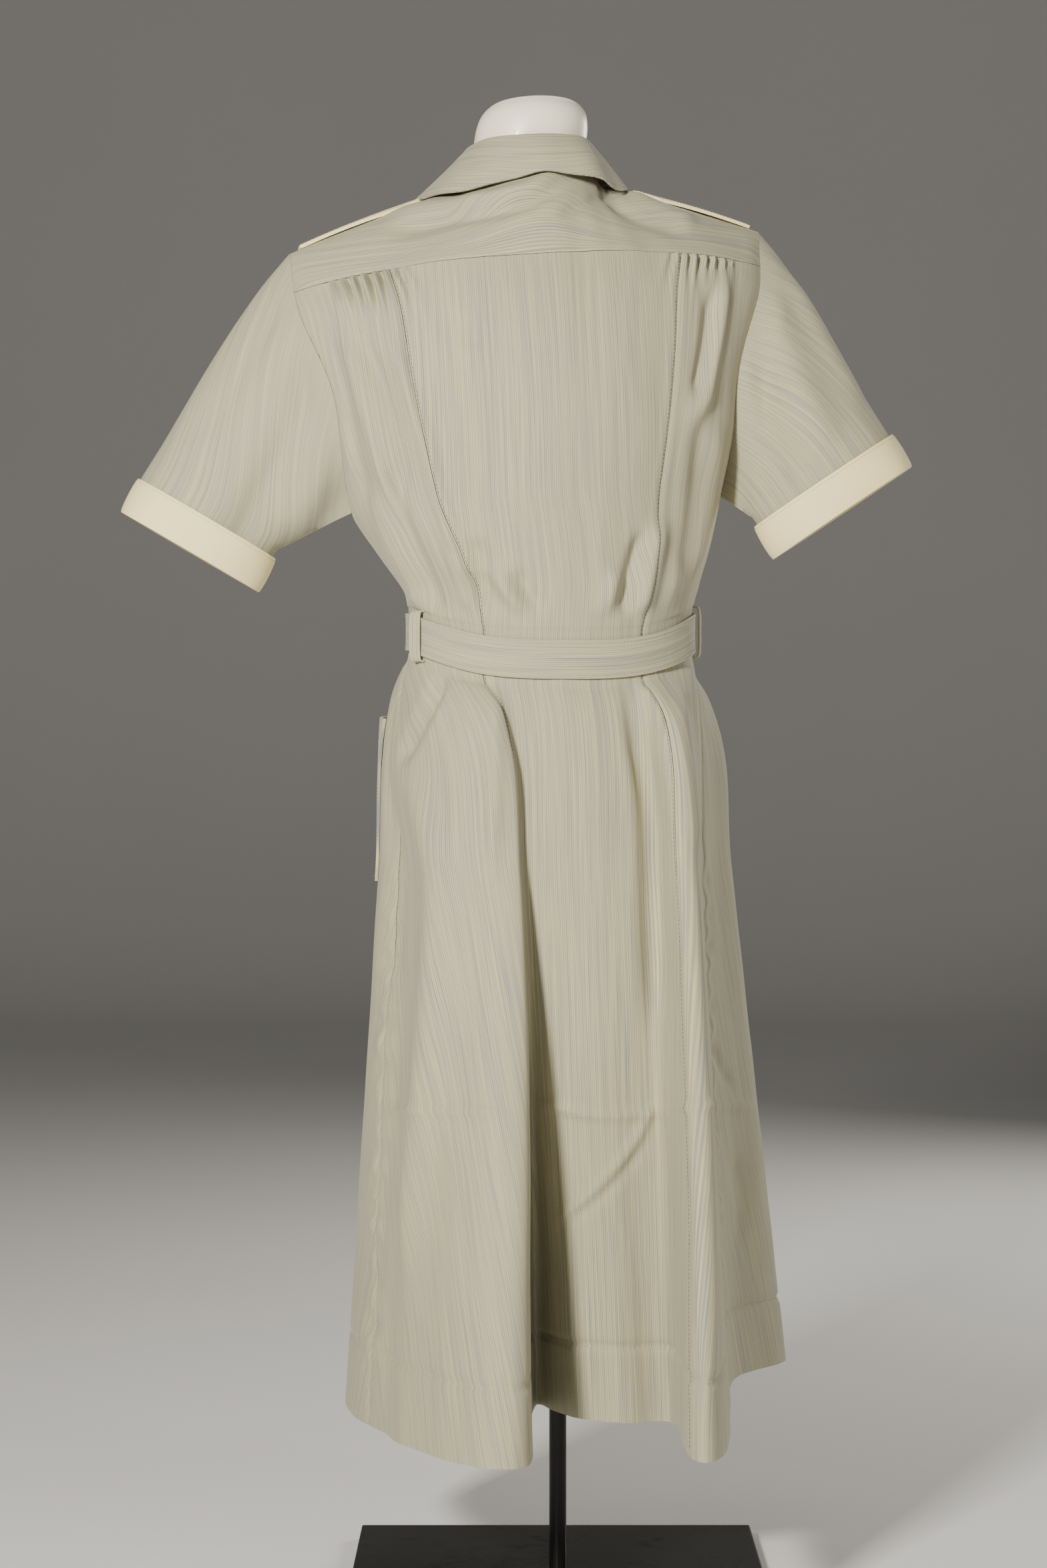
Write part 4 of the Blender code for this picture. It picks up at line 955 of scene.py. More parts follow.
# Collar: angle from the centre back, fold x, y, z, outer edge x, y, z
COLLAR_ROWS = (
    (0, 0.0, 0.056, 1.259, 0.0, 0.084, 1.2305),
    (45, 0.038, 0.042, 1.259, 0.058, 0.070, 1.2215),
    (70, 0.0492, 0.021, 1.2578, 0.0765, 0.043, 1.2180),
    (90, 0.0545, 0.002, 1.256, 0.0870, 0.010, 1.2168),
    (108, 0.0535, -0.016, 1.2505, 0.0890, -0.018, 1.2150),
    (125, 0.050, -0.034, 1.243, 0.087, -0.048, 1.198),
    (150, 0.031, -0.055, 1.220, 0.066, -0.092, 1.163),
    (172, 0.009, -0.070, 1.196, 0.030, -0.103, 1.135),
)


def neck_line(angle):
    """Neck seam all round, from the yoke's neck edge to the centre front."""
    size = abs(angle)
    if size <= NECK_CORNER_ANGLE:
        return neck_seam(angle)
    share = NECK_FRONT_SHARE * (180.0 - size) / (180.0 - NECK_CORNER_ANGLE)
    return neck_and_shoulder(share, math.copysign(1, angle))


def body_column(s, front):
    """One line of cloth from the yoke or shoulder seam down to the hem."""
    point = front_point if front else back_point
    upper = [lean(point(line_angle(s), v)) for v in np.linspace(0, BELT_ROW, UPPER_STEPS + 1)]
    lower = [skirt_point(s, t) for t in np.linspace(0, 1, LOWER_STEPS + 1)]
    return np.array(upper + lower)


def refine(grid, rows, columns, closed=False):
    """Finer grid through the points of a coarse one."""
    if closed:
        grid = np.concatenate([grid[:, -2:], grid, grid[:, :3]], axis=1)
    count, width = grid.shape[:2]
    places = np.linspace(0, count - 1, (count - 1) * rows + 1)
    grid = spline(range(count), grid.reshape(count, -1), places).reshape(-1, width, 3)
    places = np.linspace(0, width - 1, (width - 1) * columns + 1)
    turned = grid.transpose(1, 0, 2).reshape(width, -1)
    grid = spline(range(width), turned, places).reshape(len(places), -1, 3).transpose(1, 0, 2)
    if closed:
        grid = grid[:, 2 * columns:-3 * columns]
    return grid


def fineness():
    """How many times the coarse rows and columns are split."""
    return ((REFINE_ROWS, REFINE_COLUMNS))


def lengths(grid, axis):
    """Length along the cloth from the first row or column to each point."""
    steps = np.linalg.norm(np.diff(grid, axis=axis), axis=-1)
    start = np.zeros_like(np.take(steps, [0], axis=axis))
    return np.concatenate([start, np.cumsum(steps, axis=axis)], axis=axis)


def ringed(grid, closed):
    """A grid, with its first column again at the end where it is closed."""
    return np.concatenate([grid, grid[:, :1]], axis=1) if closed else grid


def on_photo(points):
    """Where points of the dress show in the photograph, in its pixels."""
    share = FOCAL_PIXELS / (CAMERA_PLACE[1] - points[..., 1])
    across = IMAGE_SIZE[0] / 2 + (CAMERA_PLACE[0] - points[..., 0]) * share
    down = IMAGE_SIZE[1] / 2 - (points[..., 2] - CAMERA_PLACE[2]) * share
    return np.stack([across, down], axis=-1)


def smooth(value, low, high):
    """Smooth step from 0 at low to 1 at high."""
    f = np.clip((value - low) / (high - low), 0, 1)
    return f * f * (3 - 2 * f)


def crease_height(points, normals):
    """Height of all the creases at points that face the back."""
    spots = on_photo(points)
    facing = smooth(normals[..., 1], *CREASE_FACING)
    total = np.zeros(points.shape[:-1])
    for height, width, *path in (row[1:] for row in CREASES):
        path = np.array(path, float)
        knots = np.concatenate([[0], np.cumsum(np.linalg.norm(np.diff(path, axis=0), axis=1))])
        fine = spline(knots, path, np.linspace(0, knots[-1], 4 * len(path)))
        low = fine.min(0) - 3 * width
        high = fine.max(0) + 3 * width
        near = np.all((spots > low) & (spots < high), axis=-1) & (facing > 0)
        if not near.any():
            continue
        p = spots[near]
        best = np.full(len(p), 1e9)
        share = np.zeros(len(p))
        for k in range(len(fine) - 1):
            a, b = fine[k], fine[k + 1]
            f = np.clip(((p - a) @ (b - a)) / max(float((b - a) @ (b - a)), 1e-9), 0, 1)
            away = np.linalg.norm(p - (a + f[:, None] * (b - a)), axis=1)
            better = away < best
            best[better] = away[better]
            share[better] = ((k + f) / (len(fine) - 1))[better]
        ends = smooth(share, *CREASE_FADE) * smooth(1 - share, *CREASE_FADE)
        total[near] += bell(best, height * 0.001 * ends, width)
    return total * facing


def soft_waves(points):
    """Low, slow unevenness of hanging cloth, the same each time."""
    x, y, z = points[..., 0], points[..., 1], points[..., 2]
    around = np.arctan2(x, y)
    wave = np.sin(9 * around + 5 * z + 1.3) * np.sin(7 * z + 0.4)
    wave += 0.7 * np.sin(17 * around - 9 * z) * np.sin(13 * z + 2 * around)
    wave += 0.5 * np.sin(60 * x + 25 * z) * np.sin(31 * z + 40 * y)
    return WAVE_HEIGHT * wave


def gather_height(distance, drop):
    """Height of the gathers at a distance outwards from the princess seam."""
    total = np.zeros_like(distance)
    for place, height, width, reach in GATHERS:
        centre = place * 0.001 + GATHER_SLANT * drop * np.sign(place)
        spread = width * 0.001 * (1 + drop / GATHER_WIDEN)
        fade = np.exp(-(drop / (reach * 0.001)) ** GATHER_END)
        total += bell(distance - centre, height * 0.001, spread) * fade
    return total * smooth(drop, -0.002, 0.004)


class Piece:
    """One cloth piece: its fine grid, its pattern places and how it is made up."""

    def __init__(self, name, grid, across=None, down=None, closed=False, wall=None,
                 trims=(0, 0, 0, 0), finish_name="striped_cotton", held="hung",
                 turned=False, creased=True):
        self.name = name
        self.grid = grid
        self.closed = closed
        self.wall = wall
        self.trims = trims
        self.finish_name = finish_name
        self.held = held
        self.creased = creased
        self.extra = np.zeros(grid.shape[:2])
        wide = ringed(grid, closed)
        self.across = lengths(wide, 1) if across is None else across
        self.down = lengths(wide, 0) if down is None else down
        if turned:
            self.across, self.down = self.down, self.across
        self.normals = grid_normals(grid, closed)
        self.outer = grid
        self.inner = grid

    def border(self):
        """Places on the edge of the grid."""
        rows, columns = self.grid.shape[:2]
        spots = [(r, c) for c in range(columns) for r in (0, rows - 1)]
        if not self.closed:
            spots += [(r, c) for r in range(rows) for c in (0, columns - 1)]
        return spots


def share_normals(pieces, grids):
    """Give the pieces that meet at a seam one normal there, long enough for a mitre."""
    found = {}
    spots = [(piece, r, c, tuple(np.round(grid[r, c] * 4000).astype(int)))
             for piece, grid in zip(pieces, grids) for r, c in piece.border()]
    for piece, r, c, key in spots:
        found.setdefault(key, []).append(piece.normals[r, c])
    for piece in pieces:
        piece.facing = piece.normals.copy()
    for piece, r, c, key in spots:
        total = np.sum(found[key], axis=0)
        size = np.linalg.norm(total)
        if size > 1e-6:
            total = total / size
            piece.facing[r, c] = total / max(float(total @ piece.normals[r, c]), 0.75)


def make_up(pieces):
    """Raise the folds on every piece and give it its wall."""
    s = settings()
    share_normals(pieces, [p.grid for p in pieces])
    for piece in pieces:
        height = piece.extra * s.gather_height
        if piece.creased:
            height = height + s.crease_height * belt_mask(piece.grid) * (
                crease_height(piece.grid, piece.normals) + soft_waves(piece.grid))
        height = height * armhole_mask(piece.grid)
        piece.outer = piece.grid + piece.facing * height[..., None]
        piece.normals = grid_normals(piece.outer, piece.closed)
    share_normals(pieces, [p.outer for p in pieces])
    for piece in pieces:
        wall = piece.wall or s.cloth_wall
        piece.inner = piece.outer - piece.facing * wall


def armhole_mask(points):
    """Share of the folds that is left near an armhole, where the pieces have to meet."""
    total = np.ones(points.shape[:-1])
    for side in (1, -1):
        away = np.ones(points.shape[:-1])
        for spot in armhole_loop(side, 2):
            away = np.minimum(away, np.linalg.norm(points - spot, axis=-1))
        total *= smooth(away, *ARMHOLE_ZONE)
    return total


def belt_mask(grid):
    """Share of the folds that is left near the belt, which holds the cloth flat."""
    belt = WAIST_Z + 0.006 - 0.5 * BELT_SAG * smooth(grid[..., 1], -0.02, 0.06)
    return smooth(np.abs(grid[..., 2] - belt), *FLAT_AT_BELT)


def trim(grid, amounts, closed=False):
    """Draw each border of a grid inwards along the cloth by its own amount."""
    grid = grid.copy()
    views = [grid] if closed else [grid, grid.transpose(1, 0, 2)]
    for view, pair in zip(views, (amounts[:2], amounts[2:])):
        for row, inner, amount in ((0, 1, pair[0]), (-1, -2, pair[1])):
            step = view[inner] - view[row]
            length = np.maximum(np.linalg.norm(step, axis=-1, keepdims=True), 1e-9)
            view[row] += step / length * np.minimum(amount, length * 0.8)
    return grid


def cells(rows, columns):
    """Row and column of every cell of a grid."""
    return [a.ravel() for a in np.meshgrid(np.arange(rows), np.arange(columns), indexing="ij")]


def shell_mesh(piece):
    """Closed wall between the outer and the inner grid, with its pattern places."""
    outer = trim(piece.outer, piece.trims, piece.closed)
    inner = trim(piece.inner, piece.trims, piece.closed)
    rows, columns = outer.shape[:2]
    wide = columns if piece.closed else columns - 1
    width = piece.across.shape[1]
    size = rows * columns
    r, c = cells(rows - 1, wide)
    d = (c + 1) % columns
    quad = np.stack([r * columns + c, (r + 1) * columns + c, (r + 1) * columns + d,
                     r * columns + d], axis=1)
    spot = np.stack([r * width + c, (r + 1) * width + c, (r + 1) * width + c + 1,
                     r * width + c + 1], axis=1)
    order = [0, 3, 2, 1]
    faces = [quad, quad[:, order] + size]
    spots = [spot, spot[:, order]]
    c = np.arange(wide)
    d = (c + 1) % columns
    rims = [(r * columns + c, r * columns + d, r * width + c, r * width + c + 1, r > 0)
            for r in (0, rows - 1)]
    if not piece.closed:
        r = np.arange(rows - 1)
        rims += [(r * columns + c, (r + 1) * columns + c, r * width + c, (r + 1) * width + c,
                  c == 0) for c in (0, columns - 1)]
    for a, b, e, f, flip in rims:
        if flip:
            a, b, e, f = b, a, f, e
        faces.append(np.stack([a, b, b + size, a + size], axis=1))
        spots.append(np.stack([e, f, f, e], axis=1))
    faces = np.concatenate(faces)
    spots = np.concatenate(spots)
    points = np.concatenate([outer.reshape(-1, 3), inner.reshape(-1, 3)])
    if signed_volume(points, faces) < 0:
        faces = faces[:, order]
        spots = spots[:, order]
    mesh = bpy.data.meshes.new(piece.name)
    mesh.from_pydata(points.tolist(), [], faces.tolist())
    places = np.stack([piece.across.ravel(), piece.down.ravel()], axis=1)[spots.ravel()]
    mesh.uv_layers.new(name="cloth").data.foreach_set("uv", places.astype(np.float32).ravel())
    return smoothed(mesh, 62)


def smoothed(mesh, degrees):
    """The mesh, shaded smooth but for edges sharper than an angle."""
    mesh.shade_smooth()
    mesh.set_sharp_from_angle(angle=math.radians(degrees))
    return mesh


def signed_volume(points, faces):
    """Volume inside closed faces, below zero where they point inwards."""
    a, b, c, d = (points[faces[:, k]] for k in range(4))
    cone = np.einsum("ij,ij->i", a, np.cross(b, c)) + np.einsum("ij,ij->i", a, np.cross(c, d))
    return float(cone.sum()) / 6.0


def add_object(name, mesh, finish_name):
    """New piece at the origin that rides on the dress."""
    mesh.materials.clear()
    mesh.materials.append(finish(finish_name))
    item = link_new(name, mesh)
    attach(item, "root")
    return item


def flat_size(piece):
    """Width, length and area of the cloth as it lies flat, the first two up to a whole mm."""
    cloth = ringed(piece.outer, piece.closed)
    wide = lengths(cloth, 1)[:, -1].max()
    long = lengths(cloth, 0)[-1].max()
    one = cloth[1:, :-1] - cloth[:-1, :-1]
    two = cloth[:-1, 1:] - cloth[:-1, :-1]
    area = float(np.linalg.norm(np.cross(one, two), axis=-1).sum())
    return math.ceil(wide * 1000) / 1000, math.ceil(long * 1000) / 1000, round(area, 4)


def place_piece(piece):
    """Turn a made-up piece into the object that replaces its CAD solid."""
    item = add_object(piece.name + "_cloth", shell_mesh(piece), piece.finish_name)
    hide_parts(piece.name)
    wide, long, area = flat_size(piece)


def place_all(pieces):
    """Make up the pieces of one group and put each in its solid's place."""
    make_up(pieces)
    for piece in pieces:
        CLOTH_PIECES[piece.name] = piece
        place_piece(piece)


def line_places(start, end):
    """Columns between two numbers of skirt lines."""
    return np.linspace(start, end, int(round((end - start) * LINE_STEPS)) + 1)


def grain_from(grid, column):
    """Length across the cloth from a grain column, and down it."""
    across = lengths(grid, 1)
    return across - across[:, column:column + 1], lengths(grid, 0)


def back_pieces():
    """The centre back and both side backs, with their gathers."""
    rows, columns = fineness()
    start = line_number("side left")
    places = line_places(start, line_number("side right"))
    whole = refine(by_columns([body_column(s, False) for s in places]), rows, columns)
    left, right = ((line_number(name) - start) * LINE_STEPS * columns
                   for name in ("princess left", "princess right"))
    drop = lengths(whole, 0)
    across = lengths(whole, 1)
    folds = gather_height(across[:, [left]] - across, LEFT_GATHER_FADE * drop)
    folds = LEFT_GATHER_HEIGHT * folds + gather_height(across - across[:, [right]], drop)
    folds[UPPER_STEPS * rows:] = 0.0
    pieces = []
    for name, first, stop, grain, pucker in (
            ("back_side_left", 0, left, left, 0),
            ("back_center", left, right, (right - left) // 2, None),
            ("back_side_right", right, whole.shape[1] - 1, 0, -1)):
        cut = slice(first, stop + 1)
        grid = whole[:, cut]
        piece = Piece(name, grid, *grain_from(grid, grain), trims=BACK_TRIMS)
        piece.extra = folds[:, cut] + seam_height(grid, (0, -1), pucker)
        pieces.append(piece)
    return pieces


def seam_height(grid, columns, pucker=None):
    """Groove along the seams at a panel's edges, the turned hem, and one puckered seam."""
    across = lengths(grid, 1)
    up = lengths(grid[::-1], 0)[::-1]
    total = HEM_SWELL * smooth(HEM_DEPTH - up, 0.0, HEM_STEP)
    total -= bell(up - HEM_DEPTH, *HEM_GROOVE)
    for column in columns:
        away = np.abs(across - across[:, [column]])
        total += bell(away - SEAM_RIDGE_PLACE, *SEAM_RIDGE) - bell(away, *SEAM_GROOVE)
    if pucker is not None:
        away = np.abs(across - across[:, [pucker]])
        ripple = np.sin(up / 0.0050 + 1.4 * np.sin(up / 0.031)) + 0.6 * np.sin(up / 0.0083)
        low = smooth(up, *PUCKER_FROM) * smooth(PUCKER_TO[0] - up, 0.0, PUCKER_TO[1])
        total += ripple * low * bell(away - PUCKER[1], *PUCKER) - bell(away, *PUCKER_GROOVE)
    return total


def front_places(side):
    """Columns of one front, with how far each lies under the other front."""
    if side > 0:
        places = np.concatenate([[-LEFT_LAP], line_places(0, line_number("side left"))])
        return places, 1 - smooth(places, *LAP_ZONE)
    end = line_number("centre front end")
    places = np.concatenate([line_places(line_number("side right"), end), [end + RIGHT_LAP]])
    return places, np.zeros(len(places))


def front_piece(side):
    """One front; the left one tucks under the right one."""
    rows, columns = fineness()
    places, under = front_places(side)
    grid = by_columns([body_column(wrapped(s), True) for s in places])
    grid = refine(grid - grid_normals(grid) * under[None, :, None] * LAYER, rows, columns)
    grain, seam = (columns, -1) if side > 0 else (grid.shape[1] - 1 - columns, 0)
    piece = Piece(sided("front", side), grid, *grain_from(grid, grain), trims=FRONT_TRIMS[side])
    piece.extra = seam_height(grid, (seam,), seam)
    return piece


def yoke_piece():
    """The back yoke, its stripes running across."""
    rows, columns = fineness()
    row = BACK_ROWS[0]
    strips = []
    for s in line_places(line_number("side left"), line_number("side right")):
        angle = line_angle(s)
        share = float(width_share(abs(angle), row[7], row[3] / row[4]))
        share = math.copysign(max(share, 1e-6), angle)
        strips.append([lean(yoke_point(share, r)) for r in np.linspace(0, 1, 13)])
    grid = refine(by_columns(strips), rows, columns)
    up = lengths(grid[::-1], 0)[::-1]
    level = YOKE_LEVEL[0] * grid[..., 2] - YOKE_LEVEL[1] * grid[..., 1]
    level = level - np.polyval(np.polyfit(grid[-1, :, 0], level[-1], 2), grid[..., 0])
    piece = Piece("back_yoke", grid, across=level, down=lengths(grid, 1), trims=YOKE_TRIMS)
    piece.extra = bell(up - YOKE_ROLL[1], *YOKE_ROLL) * smooth(up, 0.0, 0.0012)
    return piece


def sleeve_pieces():
    """Both sleeves and their turned-up cuffs."""
    rows, columns = fineness()
    finer = max(columns - 1, 1)
    drops = np.linspace(0.0, CUFF_DROP, 4 * rows + 1)
    made = []
    for row in SLEEVE_ENDS:
        name, side = row[:2]
        loop = armhole_loop(side, finer)
        shares = loop_shares(loop, (UPPER_ROWS + SHOULDER_STEP) * finer)
        sleeve = sleeve_grid(row, shares, loop)
        cuff = np.array([sleeve_ring(row, shares, drop, 0.0) for drop in drops])
        sag = waves(2 * math.pi * shares, CUFF_WAVES)
        if side > 0:
            sleeve, cuff, sag = sleeve[:, ::-1], cuff[:, ::-1], sag[::-1]
        made.append(Piece(f"sleeve_{name}", refine(sleeve, rows * 3, 1, closed=True),
                          closed=True, trims=SLEEVE_TRIMS))
        band = Piece(f"cuff_{name}", cuff, closed=True, finish_name="cream_cotton",
                     held="folded", creased=False, wall=WALLS["cuff"])
        roll = CUFF_ROLL * np.sin(math.pi * np.linspace(0, 1, len(drops))) ** 0.5
        band.extra = roll[:, None] + np.linspace(0.2, 1.0, len(drops))[:, None] * sag
        made.append(band)
    return made


def armhole_loop(side, finer):
    """Armhole from the armpit up the back, over the shoulder and down the front."""
    rows = np.linspace(0, ARMPIT_ROW, UPPER_ROWS * finer + 1)
    back = [back_point(side * 90.0, v) for v in rows[::-1]]
    over = np.linspace(1, 0, YOKE_ROWS * finer + 1)[1:-1]
    top = [yoke_point(side * 1.0, r) for r in over]
    front = [front_point(side * 90.0, v) for v in rows[:-1]]
    return np.array([lean(p) for p in back + top + front])


# How far the collar's edge spreads: angle from the centre back, half width of it, distance
COLLAR_SPREAD = ((104.0, 22.0, 0.010), (-60.0, 25.0, 0.004))


def yoke_under(spots):
    """Nearest place on the folded yoke to each spot."""
    places = np.array([[lean(yoke_point(math.copysign(max(abs(share), 1e-6), share), r))
                        for r in np.linspace(0, 1, 25)]
                       for share in np.linspace(-1, 1, 122)]).reshape(-1, 3)
    facing = np.tile([0.0, 1.0, 0.0], (len(places), 1))
    places[:, 2] += np.maximum(settings().crease_height * crease_height(places, facing), 0)
    near = [np.argmin(np.linalg.norm(places - spot, axis=1)) for spot in spots]
    return places[near]


def collar_columns(angles):
    """Collar from its stand over the fold to the outer edge, one column for each angle."""
    turned = [(-row[0], -row[1], *row[2:4], -row[4], *row[5:]) for row in COLLAR_ROWS[:0:-1]]
    table = np.array(turned + list(COLLAR_ROWS), float)
    strips = []
    for angle in angles:
        values = spline(table[:, 0], table[:, 1:], [angle])[0]
        fold, edge = values[:3], values[3:]
        seam = neck_line(angle)
        out = np.array([edge[0] - fold[0], edge[1] - fold[1], 0.0])
        out = out / np.linalg.norm(out)
        edge = edge + out * sum(bell(angle - place, distance, width)
                                for place, width, distance in COLLAR_SPREAD)
        stand_top, fall_top = (fold + out * along + UP * rise
                               for along, rise in (STAND_TOP, FALL_TOP))
        strips.append([lean(p) for p in (
            seam * 0.96 + stand_top * 0.04 - out * FOLD_OUT + UP * 0.0006,
            (seam + stand_top) / 2, stand_top, fold + out * FOLD_OUT, fall_top,
            (fall_top + edge) / 2 + UP * 0.001, edge)])
    grid = by_columns(strips)[:, ::-1]
    toward = yoke_under(grid[-1]) - grid[-1]
    away = np.linalg.norm(toward, axis=1, keepdims=True)
    move = toward * np.maximum(1 - COLLAR_CLEAR / np.maximum(away, 1e-6), 0)
    move = move * (1 - smooth(away, *COLLAR_REACH))
    padded = np.pad(move, ((3, 3), (0, 0)), mode="edge")
    move = sum(padded[k:k + len(move)] * share for k, share in enumerate(COLLAR_SMOOTHING))
    grid[-1] += move
    grid[-2] += 0.4 * move
    return grid


def collar_piece():
    """The collar, its stripes running along it, with a little spring in its edge."""
    rows, columns = fineness()
    grid = refine(collar_columns(np.linspace(-172, 172, 65)), rows * 2, columns)
    piece = Piece("collar", grid, turned=True, wall=WALLS["collar"], creased=False,
                  held="folded")
    along = np.linspace(-1, 1, grid.shape[1])
    out = np.linspace(0, 1, grid.shape[0])[:, None] ** 4
    piece.extra = out * waves(along, COLLAR_WAVES)
    return piece


def strap_piece(side):
    """Shoulder strap, arched a little over the front slope of the shoulder."""
    rows, columns = fineness()
    strips = []
    for along, share in zip(np.linspace(0, 1, 15), np.linspace(*STRAP_SPAN, 15)):
        lift = STRAP_LIFT + STRAP_ARCH * math.sin(math.pi * along)
        point = STRAP_POINT * max(0.0, 1 - along * 7)
        reach = np.linspace(STRAP_DEPTH[0] + point, STRAP_DEPTH[1] - point, 7)
        strips.append([lean(yoke_point(side * share, r) + UP * lift) for r in reach])
    grid = by_columns(strips[::-side])
    return Piece(sided("shoulder_strap", side), refine(grid, rows, columns), turned=True,
                 finish_name="cream_cotton", wall=WALLS["shoulder_strap"], creased=False,
                 held="laid")


def belt_piece():
    """Belt band; its free end laps over its start at the front."""
    rows, columns = fineness()
    end = line_number("centre front end")
    places = np.concatenate([[0.25], np.arange(0.5, end + 0.1, 0.5),
                             [end + 0.5, end + 1.0, end + 1.5]])
    lift = np.interp(places, [0, end - 1.5, end, end + 2], [0, 0, 1, 1])
    grid = np.array([[lean(waist_point(line_angle(s)) + UP * height * BELT_HEIGHT / 2)
                      for s in places] for height in (1, 0.5, 0, -0.5, -1)])
    normals = grid_normals(grid)
    normals[..., 2] = 0.0
    normals /= np.linalg.norm(normals, axis=-1, keepdims=True)
    away = LAYER + lift * (CLOTH + SEAM_GAP)
    grid = refine(grid + normals * away[None, :, None], rows, columns)
    piece = Piece("belt", grid, turned=True, wall=WALLS["belt"], creased=False,
                  held="stretched")
    down = np.abs(np.linspace(-1, 1, grid.shape[0]))[:, None]
    bow = np.abs(waves(piece.down, BELT_WAVES))
    piece.extra = down ** 2 * bow + bell(down - 0.93, *BELT_RIM)
    return piece


def loop_piece(side):
    """Belt loop on a side seam, standing off the belt and twisted a little."""
    angle, twist = BELT_LOOPS[side]
    a = math.radians(angle)
    facing = lean(np.array([math.sin(a), math.cos(a), 0])) - lean(np.zeros(3))
    strips = []
    for height, away in LOOP_PROFILE:
        turn = math.atan2(facing[0], -facing[1]) + math.radians(twist) * away / LOOP_AWAY
        along = np.array([math.cos(turn), math.sin(turn), 0.0])
        centre = lean(waist_point(angle) + UP * height) + facing * away
        strips.append([centre + along * step
                       for step in np.linspace(-LOOP_HALF_WIDTH, LOOP_HALF_WIDTH, 5)])
    grid = refine(np.array(strips), 4 * fineness()[0], 2)
    return Piece(sided("belt_loop", side), grid, wall=WALLS["belt_loop"], creased=False,
                 held="stretched")


def pocket_piece(side):
    """Patch pocket on a front beside the side seam, gaping at its top edge."""
    rows, columns = fineness()
    places = np.linspace(POCKET_STARTS[side], POCKET_STARTS[side] + POCKET_LINES, 13)
    steps = np.linspace(POCKET_STEPS[0], POCKET_STEPS[-1], 22)
    grid = np.array([[skirt_point(s, t) for s in places] for t in steps])
    across = np.sin(math.pi * np.linspace(0, 1, len(places)))
    away = LAYER + spline(POCKET_STEPS, POCKET_GAPE, steps)[:, None] * across
    grid = refine(grid + grid_normals(grid) * away[..., None], rows, columns)
    return Piece(sided("pocket", side), grid, *grain_from(grid, grid.shape[1] // 2),
                 wall=WALLS["pocket"], creased=False)


def rounded_copy(node, name, radius):
    """Copy of a CAD node with its edges rounded and its own plastic."""
    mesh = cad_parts[node].data.copy()
    mesh.name = name
    work = bmesh.new()
    work.from_mesh(mesh)
    bmesh.ops.remove_doubles(work, verts=work.verts, dist=1e-5)
    bmesh.ops.dissolve_limit(work, angle_limit=0.02, verts=work.verts, edges=work.edges)
    sharp = [e for e in work.edges if len(e.link_faces) == 2 and e.calc_face_angle(0) > 0.5]
    bmesh.ops.bevel(work, geom=sharp, offset=radius, segments=3, profile=0.5, affect="EDGES",
                    clamp_overlap=True)
    bmesh.ops.triangulate(work, faces=work.faces)
    work.to_mesh(mesh)
    work.free()
    return add_object(name, smoothed(mesh, 40), "pearl_plastic")


def tube_faces(count, sides):
    """Faces between the rings of a tube of points."""
    r, c = cells(count - 1, sides)
    d = (c + 1) % sides
    return np.stack([r * sides + c, r * sides + d, (r + 1) * sides + d,
                     (r + 1) * sides + c], axis=1).tolist()


def turned_mesh(name, profile, sides):
    """Closed solid turned round Z, from (radius, height) rows that end on the axis."""
    turn = np.linspace(0, 2 * math.pi, sides, endpoint=False)
    points = [(r * math.cos(a), r * math.sin(a), z) for r, z in profile for a in turn]
    mesh = bpy.data.meshes.new(name)
    mesh.from_pydata(points, [], tube_faces(len(profile), sides))
    work = bmesh.new()
    work.from_mesh(mesh)
    bmesh.ops.remove_doubles(work, verts=work.verts, dist=1e-7)
    bmesh.ops.recalc_face_normals(work, faces=work.faces)
    work.to_mesh(mesh)
    work.free()
    return smoothed(mesh, 50)


# Button from its middle outwards: radius and height in mm
BUTTON_PROFILE = ((0.0, 0.0), (5.4, 0.0), (6.1, 0.25), (6.5, 0.9), (6.45, 1.7), (6.1, 2.3),
                  (5.5, 2.6), (4.9, 2.45), (4.4, 2.0), (3.8, 1.8), (0.0, 1.8))
BUTTON_MIDDLE = 0.0013
# Holes: their distance from the middle, and the radius of the dark discs of painted shade that
# stand for them
HOLE_PLACE = 0.0012
HOLE_RADIUS = 0.00055
THREAD_RADIUS = 0.00038


def add_cylinder(work, radius, depth, sides, place, turn, slot):
    """Small closed cylinder in a mesh, with its material slot."""
    made = bmesh.ops.create_cone(work, cap_ends=True, segments=sides, radius1=radius,
                                 radius2=radius, depth=depth)
    matrix = mathutils.Matrix.Translation(place) @ mathutils.Matrix.Rotation(turn, 4, "X")
    bmesh.ops.transform(work, verts=made["verts"], matrix=matrix)
    for face in {f for v in made["verts"] for f in v.link_faces}:
        face.material_index = slot


def button_object(node):
    """A button with a rim, thread through its four holes, and a dark disc of painted shade on
    each hole.
    """
    low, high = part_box(node)
    mesh = turned_mesh(node + "_turned", np.array(BUTTON_PROFILE) * 0.001, 36)
    work = bmesh.new()
    work.from_mesh(mesh)
    for x in (-HOLE_PLACE, HOLE_PLACE):
        for y in (-HOLE_PLACE, HOLE_PLACE):
            # Thin discs in the near-black thread material: painted shade where the holes are,
            # not openings
            add_cylinder(work, HOLE_RADIUS, 0.0003, 8, (x, y, 0.00188), 0.0, 1)
        add_cylinder(work, THREAD_RADIUS, 0.0026, 6, (x, 0, 0.0022), math.radians(90), 2)
    bmesh.ops.translate(work, verts=work.verts, vec=(0, 0, -BUTTON_MIDDLE))
    work.to_mesh(mesh)
    work.free()
    mesh.transform(button_facing(node).to_track_quat("Z", "Y").to_matrix().to_4x4())
    mesh.transform(mathutils.Matrix.Translation((low + high) / 2))
    item = add_object(node + "_turned", mesh, "pearl_plastic")
    # Slot 1 is the holes' painted shade, slot 2 the thread
    mesh.materials.append(finish("painted_shade_thread"))
    mesh.materials.append(finish("cloth_thread"))
    return item


